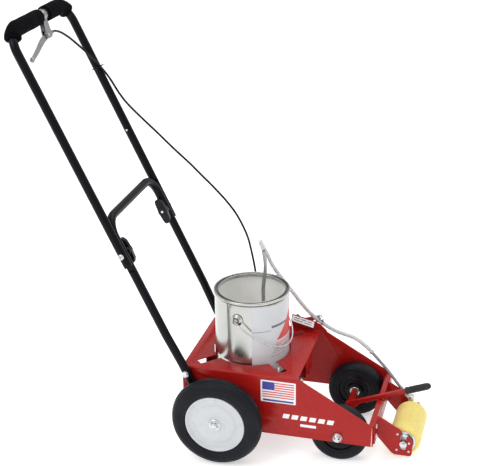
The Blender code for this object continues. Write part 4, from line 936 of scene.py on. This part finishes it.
def knob_bolt(side_name, side):
    """Pan-head bolt, its end showing in the wing knob, with black bars on its head as painted shade for the
    cross recess.
    """
    pivot = handle_point(0.0, KNOB_S)
    outside = UPPER_TUBE_Y + TUBE_RADIUS + GAP
    tip = LOWER_TUBE_Y - TUBE_RADIUS - GAP - 0.0190
    profile = [(0.0, outside + 0.0034)] + [
        (0.0022, outside + 0.0033), (0.0042, outside + 0.0027), (0.0058, outside + 0.0016),
        (0.0066, outside + 0.0005), (0.0066, outside), (0.0031, outside),
        (0.0031, tip + 0.0006), (0.0025, tip), (0.0, tip),
    ]
    node = f"knob_bolt_{side_name}"
    turned(node + "_plated", "zinc", "chassis", pivot, (0.0, side, 0.0), profile, 32, node)
    # Two thin black bars on the head stand for the cross recess: painted shade.
    shape = bmesh.new()
    y = side * (outside + 0.0031)
    for turn in (35.0, 125.0):
        low = (pivot.x - 0.0026, min(y, y + side * 0.0004), pivot.z - 0.0005)
        high = (pivot.x + 0.0026, max(y, y + side * 0.0004), pivot.z + 0.0005)
        centre = pivot + Vector((0.0, y, 0.0))
        block(shape, low, high, 0.0, Matrix.Rotation(math.radians(turn), 4, "Y"), centre)
    piece(f"knob_bolt_recess_shade_{side_name}", shape, "plastic", "chassis")


def foot_bolt(name, side, s):
    """Hex bolt and washer through tube and side panel, with a nut inside."""
    middle = handle_point(0.0, s)
    outside = FOOT_TUBE_Y + TUBE_RADIUS + GAP
    inside = CHASSIS_HALF_WIDTH - SHEET - GAP
    head = 0.0050 if s > -0.25 else 0.0042
    out = (0.0, side, 0.0)
    shape = bmesh.new()
    lathe(shape, middle, out, [
        (0.0, outside + 0.0010), (0.0070, outside + 0.0010), (0.0073, outside + 0.0007), (0.0073, outside),
        (0.0031, outside), (0.0031, inside - 0.0068), (0.0026, inside - 0.0072), (0.0, inside - 0.0072),
    ], 32)
    lathe(shape, middle, out, [
        (0.0, outside + head), (0.0050, outside + head), (0.0062, outside + head - 0.0008),
        (0.0062, outside + 0.0011), (0.0, outside + 0.0011),
    ], 6)
    lathe(shape, middle, out, [
        (0.0031, inside), (0.0056, inside), (0.0062, inside - 0.0006), (0.0062, inside - 0.0044),
        (0.0056, inside - 0.0050), (0.0031, inside - 0.0050),
    ], 6, closed=True)
    piece(name + "_plated", shape, "zinc", "chassis", (name,), degrees=28.0)


def cable_tie():
    """Tie round the left tube and the cable with its head and tail, and a button in the tube's hole."""
    shape = bmesh.new()
    centre = handle_point(0.1440, 0.4284, 0.0025)
    ring = []
    for step in range(40):
        angle = math.tau * step / 40
        ring.append(centre + Y_AXIS * 0.0118 * math.cos(angle) + HANDLE_FRONT * 0.0142 * math.sin(angle))
    swept(shape, ring, [(index, 0.0009, 0.0) for index in range(40)], 8, closed=True)
    head = centre - Y_AXIS * 0.0120
    half = Vector((0.0030, 0.0024, 0.0030))
    block(shape, head - half, head + half, 0.0006)
    tail_steps = ((0.002, -0.002, 0.0), (0.004, -0.003, -0.001), (0.006, -0.004, -0.004))
    tail = [head + Vector(step) for step in tail_steps]
    tube(shape, smooth_route(tail, 8), 0.0009, 8, 0.0002)
    piece("handle_cable_tie", shape, "plastic", "push_handle")
    shape = bmesh.new()
    screw(shape, handle_point(UPPER_TUBE_Y - TUBE_RADIUS, 0.2730), -Y_AXIS, 0.0026, 0.0012)
    piece("upper_handle_button", shape, "zinc", "push_handle")


# ---------------------------------------------------------------- can

def wall_point(degrees, z, lift=0.0):
    angle = math.radians(degrees)
    reach = CAN_RADIUS + lift
    return Vector((CAN_X + reach * math.cos(angle), reach * math.sin(angle), z))


def wrapped(shape, low_line, high_line, lift, thickness=0.00008, step=2.0):
    """Adds a thin print on the can's wall between two lines, each a list of (degrees, z)."""
    def height(line, angle):
        for (a0, z0), (a1, z1) in zip(line, line[1:]):
            if a0 <= angle <= a1:
                return z0 + (z1 - z0) * (angle - a0) / max(a1 - a0, 1e-9)
        return line[-1][1]
    start = max(low_line[0][0], high_line[0][0])
    end = min(low_line[-1][0], high_line[-1][0])
    count = max(2, math.ceil((end - start) / step))
    columns = []
    for index in range(count + 1):
        angle = start + (end - start) * index / count
        low = height(low_line, angle)
        high = max(height(high_line, angle), low + 0.00002)
        columns.append([
            shape.verts.new(wall_point(angle, low, lift)),
            shape.verts.new(wall_point(angle, high, lift)),
            shape.verts.new(wall_point(angle, high, lift + thickness)),
            shape.verts.new(wall_point(angle, low, lift + thickness)),
        ])
    for one, two in zip(columns, columns[1:]):
        for index in range(4):
            after = (index + 1) % 4
            shape.faces.new((one[index], one[after], two[after], two[index]))
    shape.faces.new(columns[0][::-1])
    shape.faces.new(columns[-1])


def band(shape, start, end, low, high, lift, thickness=0.00008, step=2.0):
    """Adds a print with level edges, from one angle to another in degrees."""
    wrapped(shape, [(start, low), (end, low)], [(start, high), (end, high)], lift, thickness, step)


def can():
    top = CAN_TOP_Z
    floor = CAN_FLOOR_Z
    inner = CAN_RADIUS - 0.0012
    profile = [(0.0, floor + 0.0045), (inner - 0.0060, floor + 0.0045), (inner - 0.0015, floor + 0.0060)]
    profile += [(inner, floor + 0.0095), (inner, top - 0.0500), (inner, top - 0.0110)]
    profile += [(0.0790, top - 0.0098), (0.0748, top - 0.0088), (0.0735, top - 0.0074)]
    profile += [(0.0735, top - 0.0018)] + arc(0.0745, top - 0.0016, 0.0010, 180, 0, 6)
    profile += [(0.0759, top - 0.0056), (0.0768, top - 0.0063)]
    profile += [(0.0792, top - 0.0063), (0.0803, top - 0.0056)]
    profile += arc(0.0829, top - 0.0021, 0.0021, 180, 0, 8)
    profile += [(0.0850, top - 0.0052), (0.0843, top - 0.0066), (0.0830, top - 0.0076)]
    profile += [(CAN_RADIUS, top - 0.0090)]
    profile += [(CAN_RADIUS, EAR_Z + 0.02), (CAN_RADIUS, EAR_Z - 0.02), (CAN_RADIUS, floor + 0.0090)]
    profile += [(0.0831, floor + 0.0060), (0.0842, floor + 0.0050), (0.0846, floor + 0.0036)]
    profile += [(0.0845, floor + 0.0008), (0.0840, floor), (0.0832, floor), (0.0828, floor + 0.0026)]
    profile += [(0.0820, floor + 0.0030), (0.0, floor + 0.0028)]
    shape = bmesh.new()
    lathe(shape, (CAN_X, 0.0, 0.0), (0.0, 0.0, 1.0), profile, 144)
    for face in shape.faces:
        middle = face.calc_center_median()
        reach = math.hypot(middle.x - CAN_X, middle.y)
        lined = floor + 0.004 < middle.z < top - 0.0095 and reach < inner + 0.0004
        # The rim's groove and the underside of its curl take the dark tin, which is painted shade.
        grooved = top - 0.0070 < middle.z < top - 0.0048 and 0.0757 < reach < 0.0806
        under_rim_shade = top - 0.0092 < middle.z < top - 0.0058 and reach > CAN_RADIUS
        face.material_index = 1 if lined else 2 if grooved or under_rim_shade else 0
    shell = piece("gallon_can", shape, "tin", "can", ("paint_can",), degrees=40.0)
    shell.data.materials.append(PAINTS["lining"].material)
    shell.data.materials.append(PAINTS["groove"].material)

    low = floor + 0.0070
    high = top - 0.0100
    seam = -115.5
    shape = bmesh.new()
    band(shape, seam - 0.9, seam + 0.9, low, high, 0.0, 0.00055, 0.6)
    piece("can_side_seam", shape, "tin", "can")
    shape = bmesh.new()
    band(shape, seam + 0.95, seam + 1.85, low, high, 0.0, 0.00015, 0.5)
    piece("can_seam_flux", shape, "print_grey", "can")

    label_low = floor + 0.0100
    label_high = top - 0.0120
    shape = bmesh.new()
    band(shape, -75.5, 118.0, label_low, label_high, 0.00002)
    piece("can_label", shape, "paper", "can")
    shape = bmesh.new()
    peak = [(-34.0, 0.2530), (20.0, 0.3370), (74.0, 0.2530)]
    wrapped(shape, [(-34.0, 0.2515), (74.0, 0.2515)], peak, PRINT_LIFT)
    for z in (0.2440, 0.2395):
        band(shape, -36.0, 60.0, z, z + 0.0016, PRINT_LIFT)
    piece("can_label_red", shape, "print_red", "can")
    shape = bmesh.new()
    for start, end, low, high in (
        (-75.5, -45.0, 0.2795, 0.2806), (-44.0, -12.0, 0.2850, 0.2905), (-40.0, 52.0, 0.2320, 0.2330),
        (-42.0, 58.0, 0.2275, 0.2285), (-44.0, 46.0, 0.2230, 0.2240), (-46.0, 20.0, 0.2150, 0.2160),
    ):
        band(shape, start, end, low, high, PRINT_LIFT)
    piece("can_label_grey", shape, "print_grey", "can")

    for side_name, side in each_side():
        out = Vector((side * math.sin(EAR_TURN), side * math.cos(EAR_TURN), 0.0))
        base = CAN_RADIUS + 0.0004
        boss = [
            (0.0, base + 0.0030), (0.0052, base + 0.0030), (0.0060, base + 0.0036), (0.0066, base + 0.0055),
            (0.0073, base + 0.0061), (0.0083, base + 0.0057), (0.0094, base + 0.0040),
            (0.0108, base + 0.0022),
            (0.0124, base + 0.0013), (0.0135, base + 0.0010), (0.0135, base + 0.0004), (0.0, base + 0.0004),
        ]
        shape = bmesh.new()
        lathe(shape, (CAN_X, 0.0, EAR_Z), out, boss, 48)
        ball = [(0.0, base + 0.0094)] + [
            (0.0044 * math.sin(math.radians(angle)), base + 0.0050 + 0.0044 * math.cos(math.radians(angle)))
            for angle in range(15, 136, 15)
        ] + [(0.0, base + 0.0016)]
        lathe(shape, (CAN_X, 0.0, EAR_Z), out, ball, 32)
        piece(f"can_ear_{side_name}_pressed", shape, "tin", "can", (f"can_ear_{side_name}",), degrees=45.0)

    across = Vector((math.sin(EAR_TURN), math.cos(EAR_TURN), 0.0))
    forward = Vector((math.cos(EAR_TURN), -math.sin(EAR_TURN), 0.0))
    drop = math.radians(41)
    hang = forward * math.cos(drop) - Vector((0.0, 0.0, 1.0)) * math.sin(drop)
    pivot = Vector((CAN_X, 0.0, EAR_Z))
    end = 0.0935
    points = [pivot + across * (end - 0.0015)]
    for step in range(49):
        angle = math.pi * step / 48
        points.append(pivot + across * (end + 0.0020) * math.cos(angle) + hang * 0.1180 * math.sin(angle))
    points.append(pivot - across * (end - 0.0015))
    shape = bmesh.new()
    tube(shape, points, 0.0016, 12, 0.0004)
    piece("bail_wire", shape, "zinc", "bail", ("can_bail",))


def siphon():
    points = smooth_route([
        (0.0560, 0.0300, CAN_FLOOR_Z + 0.0110), (0.0560, 0.0300, 0.2400), (0.0554, 0.0300, 0.3123),
        (0.0553, 0.0300, 0.3369), (0.0581, 0.0300, 0.3618), (0.0603, 0.0300, 0.3816),
        (0.0605, 0.0300, 0.3986),
        (0.0586, 0.0300, 0.4153), (0.0560, 0.0300, 0.4282),
    ], 60)
    shape = bmesh.new()
    tube(shape, points, 0.0041, 20)
    piece("siphon_pipe", shape, "aluminium", "can", ("siphon_tube",))
    shape = bmesh.new()
    lathe(shape, (0.0560, 0.0300, CAN_FLOOR_Z), (0.0, 0.0, 1.0), [
        (0.0043, 0.0300), (0.0062, 0.0290), (0.0078, 0.0240), (0.0080, 0.0120), (0.0074, 0.0090),
        (0.0043, 0.0090),
    ], 28, closed=True)
    piece("siphon_strainer", shape, "plastic", "can")


# ---------------------------------------------------------------- deck, front end and valve

def rectangle(x0, z0, x1, z1, corner=0.0, steps=4):
    if corner <= 0.0:
        return [(x0, z0), (x1, z0), (x1, z1), (x0, z1)]
    outline = []
    for cx, cz, start in (
        (x1 - corner, z0 + corner, -90), (x1 - corner, z1 - corner, 0),
        (x0 + corner, z1 - corner, 90), (x0 + corner, z0 + corner, 180),
    ):
        for step in range(steps + 1):
            angle = math.radians(start + 90 * step / steps)
            outline.append((cx + corner * math.cos(angle), cz + corner * math.sin(angle)))
    return outline


def lifted(lift, shear=0.0):
    return lambda x, z: (x, -(CHASSIS_HALF_WIDTH + 0.00004 + lift), z + shear * x)


def stickers():
    """A striped sticker without words, and a plain white stripe mark, on the right side panel."""
    shape = bmesh.new()
    slice_of(shape, rectangle(0.0880, 0.1400, 0.1660, 0.1930, 0.0020), lifted(0.0), 0.00012)
    piece("panel_sticker", shape, "print_white", "chassis")
    shape = bmesh.new()
    for number in range(7):
        top = 0.1890 - number * 0.0057
        left = 0.1195 if number < 4 else 0.0915
        slice_of(shape, rectangle(left, top - 0.0028, 0.1625, top), lifted(PRINT_LIFT), 0.00006)
    piece("panel_sticker_red", shape, "print_red", "chassis")
    shape = bmesh.new()
    slice_of(shape, rectangle(0.0915, 0.1700, 0.1190, 0.1895), lifted(PRINT_LIFT), 0.00006)
    slice_of(shape, rectangle(0.0930, 0.1425, 0.1610, 0.1470), lifted(PRINT_LIFT), 0.00006)
    piece("panel_sticker_blue", shape, "print_blue", "chassis")
    shape = bmesh.new()
    for number in range(6):
        left = 0.1360 + number * 0.0196
        low = 0.1042 - number * 0.00038
        high = low + 0.0110
        outline = [(left, low), (left + 0.0140, low), (left + 0.0170, high), (left + 0.0030, high)]
        slice_of(shape, outline, lifted(0.0), 0.00010)
    slice_of(shape, rectangle(0.1760, 0.0880, 0.2110, 0.0945, 0.0014), lifted(0.0), 0.00010)
    piece("panel_stripe_mark", shape, "print_white", "chassis")


def screw(shape, where, direction, radius=0.0030, height=0.0016):
    lathe(shape, where, direction, [
        (0.0, height * 0.62), (radius * 0.34, height * 0.62), (radius * 0.40, height),
        (radius * 0.72, height * 0.92),
        (radius * 0.95, height * 0.5), (radius, 0.0), (0.0, 0.0),
    ], 24)


def roller_head():
    for side_name, side in each_side():
        refined(f"roller_bracket_{side_name}", "red", "chassis", 0.0004)
        shape = bmesh.new()
        for x, z in ((0.3815, 0.0731), (0.4072, 0.0536), (0.3807, 0.0336), (0.4069, 0.0327)):
            screw(shape, (x, side * (EAR_INNER_Y + EAR_SHEET), z), (0.0, side, 0.0))
        screw(shape, (PLATE_FRONT_X + GAP + EAR_SHEET, side * 0.0955, 0.074), (1.0, 0.0, 0.0), 0.0052, 0.0030)
        piece(f"bracket_screws_{side_name}", shape, "zinc", "chassis")
        head = PLATE_FRONT_X + GAP + EAR_SHEET + GAP
        back = 0.3325 - GAP
        shape = bmesh.new()
        lathe(shape, (0.0, side * 0.0955, 0.098), (1.0, 0.0, 0.0), [
            (0.0, head + 0.0030), (0.0024, head + 0.0028), (0.0045, head + 0.0019), (0.0056, head + 0.0004),
            (0.0056, head), (0.0030, head), (0.0030, back - 0.0072), (0.0, back - 0.0075),
        ], 32)
        lathe(shape, (0.0, side * 0.0955, 0.098), (1.0, 0.0, 0.0), [
            (0.0030, back), (0.0052, back), (0.0058, back - 0.0006), (0.0058, back - 0.0042),
            (0.0052, back - 0.0048),
            (0.0030, back - 0.0048),
        ], 6, closed=True)
        node = f"bracket_bolt_{side_name}"
        piece(node + "_plated", shape, "zinc", "chassis", (node,), degrees=28.0)

    shape = bmesh.new()
    x0, x1, z0, z1 = ROLLER_X - 0.0105, ROLLER_X + 0.0105, 0.0270, 0.0700
    gap_half = ROLLER_AXLE_RADIUS + 0.0006
    outline = [
        (x0, z0), (x1, z0), (x1, z1), (ROLLER_X + gap_half, z1), (ROLLER_X + gap_half, 0.0400),
        (ROLLER_X + 0.0026, 0.0366), (ROLLER_X - 0.0026, 0.0366), (ROLLER_X - gap_half, 0.0400),
        (ROLLER_X - gap_half, z1), (x0, z1),
    ]
    slice_of(shape, outline, lambda x, z: (x, -(EAR_INNER_Y - 0.0003), z), -0.0014)
    piece("roller_guide_plate", shape, "zinc", "chassis")

    where = (ROLLER_X, 0.0, ROLLER_Z)
    left = ROLLER_LEFT_Y
    right = ROLLER_RIGHT_Y
    bore = ROLLER_AXLE_RADIUS + GAP
    shape = bmesh.new()
    lathe(shape, where, Y_AXIS, [
        (bore, left - 0.0010), (0.0200, left - 0.0010), (0.0210, left - 0.0020),
        (0.0210, right + 0.0020), (0.0200, right + 0.0010), (bore, right + 0.0010),
    ], 48, closed=True)
    piece("roller_drum", shape, "plastic", "roller", ("roller_core",))
    seat = 0.0210 + GAP
    crown = ROLLER_RADIUS
    profile = [(seat, left - 0.0004), (0.0262, left)]
    profile += arc(crown - 0.0088, left - 0.0088, 0.0088, 90, 0, 10)
    length = left - right
    for step in range(1, 24):
        profile.append((crown, left - 0.0088 - (length - 0.0176) * step / 24))
    profile += arc(crown - 0.0088, right + 0.0088, 0.0088, 0, -90, 10)
    profile += [(0.0262, right), (seat, right + 0.0004)]
    shape = bmesh.new()
    lathe(shape, where, Y_AXIS, profile, 120, closed=True)
    axis_point = Vector(where)
    for vertex in shape.verts:
        arm = vertex.co - axis_point
        arm.y = 0.0
        if arm.length > seat + 0.003:
            lump = noise.noise(vertex.co * 120.0) * 0.00035 + noise.noise(vertex.co * 420.0) * 0.00025
            vertex.co += arm.normalized() * (lump - 0.0004)
    piece("roller_cover", shape, "nap", "roller", ("roller_nap",), degrees=80.0)
    for name, base, side, hub in (("left", left, 1.0, 0.0030), ("right", -right, -1.0, 0.0072)):
        shape = bmesh.new()
        lathe(shape, where, (0.0, side, 0.0), [
            (bore, base + hub), (0.0092, base + hub), (0.0100, base + hub - 0.0006), (0.0104, base + 0.0030),
            (0.0118, base + 0.0022), (0.0180, base + 0.0016), (0.0190, base + 0.0022),
            (0.0236, base + 0.0022),
            (0.0248, base + 0.0014), (0.0250, base + GAP), (bore, base + GAP),
        ], 48, closed=True)
        piece(f"roller_cap_{name}_plated", shape, "zinc", "roller", (f"roller_cap_{name}",))


def feed_pipe():
    joint = Vector((0.3780, 0.0675, 0.0935))
    knee = Vector((ROLLER_X - 0.0045, 0.0662, 0.0830))
    out = (joint - knee).normalized()
    start = joint + out * GAP
    bend = start + out * 0.010
    points = smooth_route([
        start, start + out * 0.006, bend + Vector((-0.0030, 0.0008, 0.0035)),
        bend + Vector((-0.0110, 0.0040, 0.0100)), (0.3300, 0.0850, 0.1380), (0.2885, 0.1000, 0.1736),
    ], 60)
    shape = bmesh.new()
    tube(shape, points, 0.0035, 20)
    piece("feed_pipe", shape, "aluminium", "roller_carriage", ("feed_tube",))
    shape = bmesh.new()
    swept(shape, points, [
        (55, 0.0037, 0.0), (55, 0.0052, 0.0004), (56, 0.0054, 0.0),
        (58, 0.0054, 0.0), (58, 0.0052, 0.0008), (58, 0.0037, 0.0012),
    ], 24, closed=True)
    piece("feed_pipe_ferrule", shape, "zinc", "roller_carriage")


def lever_grip():
    start = Vector((0.3861, 0.0, 0.1382))
    along = (start - Vector((0.2500, 0.0, 0.0856))).normalized()
    start = start + along * GAP
    length = 0.054 - GAP
    bore = 0.0036 + GAP
    profile = [(0.0022, length - 0.0040), (0.0022, length + 0.0028), (0.0034, length + 0.0030)]
    profile += [(0.0052, length + 0.0018), (0.0066, length - 0.0006), (0.0074, length - 0.0040)]
    for number in range(9):
        base = length - 0.0070 - number * 0.0044
        profile += [(0.0080, base), (0.0080, base - 0.0026), (0.0074, base - 0.0032), (0.0074, base - 0.0038)]
    profile += [(0.0080, 0.0050), (0.0082, 0.0010), (0.0078, 0.0), (bore, 0.0), (bore, length - 0.0037)]
    shape = bmesh.new()
    lathe(shape, start, along, profile, 40, closed=True)
    piece("lever_sleeve_grip", shape, "rubber", "front_lever", ("lever_grip",), degrees=32.0)


def valve_details():
    """White plate on the valve's hood, its plain dashes, a clip over the hose, and the tie's tails."""
    first = Vector((0.1020, 0.1130, 0.2372))
    second = Vector((0.1560, 0.1130, 0.2240))
    drop = Vector((0.0, -0.0125, -0.0115))
    normal = (second - first).cross(drop).normalized()
    if normal.z < 0:
        normal = -normal
    along = second - first

    def on_hood(u, v, lift):
        return first + along * u + drop * v + normal * (0.00095 + lift)

    shape = bmesh.new()
    slice_of(shape, rectangle(0.03, 0.10, 0.97, 0.94, 0.04), lambda u, v: on_hood(u, v, 0.0), 0.00015)
    piece("valve_label", shape, "print_white", "chassis")
    shape = bmesh.new()
    for u0, u1, v0, v1 in (
        (0.12, 0.34, 0.30, 0.42), (0.40, 0.62, 0.30, 0.42), (0.68, 0.88, 0.30, 0.42),
        (0.12, 0.50, 0.62, 0.72), (0.56, 0.88, 0.62, 0.72),
    ):
        slice_of(shape, rectangle(u0, v0, u1, v1), lambda u, v: on_hood(u, v, 0.00016), 0.00006)
    piece("valve_label_dashes", shape, "print_grey", "chassis")
    tie_at = Vector((0.1710, 0.1240, 0.2176))
    shape = bmesh.new()
    along_hose = (Vector((0.1718, 0.1240, 0.2169)) - Vector((0.1618, 0.1235, 0.2232))).normalized()
    up = Y_AXIS.cross(along_hose).normalized()
    ring = []
    for step in range(28):
        angle = math.tau * step / 28
        ring.append(tie_at + (Y_AXIS * math.cos(angle) + up * math.sin(angle)) * (HOSE_RADIUS + 0.0008))
    swept(shape, ring, [(index, 0.0009, 0.0) for index in range(28)], 8, closed=True)
    top = tie_at + Vector((0.0, 0.0, HOSE_RADIUS + 0.0022))
    block(shape, top - Vector((0.0022, 0.0026, 0.0014)), top + Vector((0.0022, 0.0026, 0.0014)), 0.0004)
    tail = [top, top + Vector((0.0040, -0.0030, 0.0040)), top + Vector((0.0060, -0.0080, 0.0060))]
    tube(shape, smooth_route(tail, 8), 0.0007, 8, 0.0002)
    piece("hose_tie", shape, "aluminium", "chassis")


def deck_details():
    """Straps that show in two slots, their button heads, and the bolt and tab under the deck's front edge."""
    for number, degrees in enumerate((-45.0, 135.0)):
        angle = math.radians(degrees)
        out = Vector((math.cos(angle), math.sin(angle), 0.0))
        centre = Vector((CAN_X, 0.0, 0.0)) + out * 0.1085
        shape = bmesh.new()
        turn = Matrix.Rotation(angle, 4, "Z")
        low = Vector((centre.x - 0.0008, centre.y - 0.0045, 0.1720))
        high = Vector((centre.x + 0.0008, centre.y + 0.0045, DECK_Z - SHEET - GAP))
        block(shape, low, high, 0.0003, turn, (centre.x, centre.y, 0.0))
        screw(shape, centre - out * 0.0008 + Vector((0.0, 0.0, 0.1850)), -out, 0.0040, 0.0024)
        piece(f"can_strap_{number}", shape, "zinc", "chassis")
    shape = bmesh.new()
    hook = Vector((0.1640, -0.1010, 0.1900))
    lathe(shape, hook, (1.0, 0.0, 0.0), [
        (0.0, 0.0130), (0.0028, 0.0130), (0.0031, 0.0126), (0.0031, -0.0100), (0.0028, -0.0104),
        (0.0, -0.0104),
    ], 24)
    lathe(shape, hook, (1.0, 0.0, 0.0), [
        (0.0031, 0.0090), (0.0052, 0.0090), (0.0058, 0.0084), (0.0058, 0.0048), (0.0052, 0.0042),
        (0.0031, 0.0042),
    ], 6, closed=True)
    lathe(shape, hook, (1.0, 0.0, 0.0), [
        (0.0031, 0.0040), (0.0072, 0.0040), (0.0074, 0.0036), (0.0074, 0.0026), (0.0031, 0.0026),
    ], 28, closed=True)
    piece("deck_front_bolt", shape, "zinc", "chassis", degrees=28.0)
    shape = bmesh.new()
    block(shape, (0.1640, -0.1080, 0.1800), (0.1663, -0.0930, 0.2008), 0.0004)
    block(shape, (0.1663, -0.1080, 0.1800), (0.1760, -0.0930, 0.1823), 0.0004)
    piece("deck_front_tab", shape, "red", "chassis")


# ---------------------------------------------------------------- the whole scene

REFINED = {
    "chassis": ("red", "chassis", 0.0004),
    "front_plate": ("red", "chassis", 0.0004),
    "can_cradle": ("red", "chassis", 0.0004),
    "lever_arm": ("red", "front_lever", 0.0005),
    "valve_bracket": ("red", "chassis", 0.0004),
    "pinch_arm": ("zinc", "pinch_arm", 0.0003),
    "cable_stop": ("zinc", "chassis", 0.0003),
    "feed_fitting": ("zinc", "roller_carriage", 0.0005),
    "lever_mount": ("aluminium", "push_handle", 0.0007),
    "hand_lever": ("aluminium", "hand_lever", 0.0011),
}
KEPT = {"rear_axle": "zinc", "front_axle": "zinc", "roller_axle": "zinc", "lever_pin": "zinc"}


def keep_nodes():
    for name, paint in KEPT.items():
        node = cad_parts[name]
        if not node.material_slots:
            node.data.materials.append(PAINTS[paint].material)
        for slot in node.material_slots:
            slot.link = "OBJECT"
            slot.material = PAINTS[paint].material


make_camera()
make_stage()
make_light()
cords()
for node_name, (paint_name, body_name, bevel_width) in REFINED.items():
    refined(node_name, paint_name, body_name, bevel_width)
keep_nodes()
for wheel_side, wheel_sign in each_side():
    rear_wheel(wheel_side, wheel_sign)
    front_wheel(wheel_side, wheel_sign)
handle()
cable_tie()
can()
siphon()
stickers()
roller_head()
feed_pipe()
lever_grip()
valve_details()
deck_details()
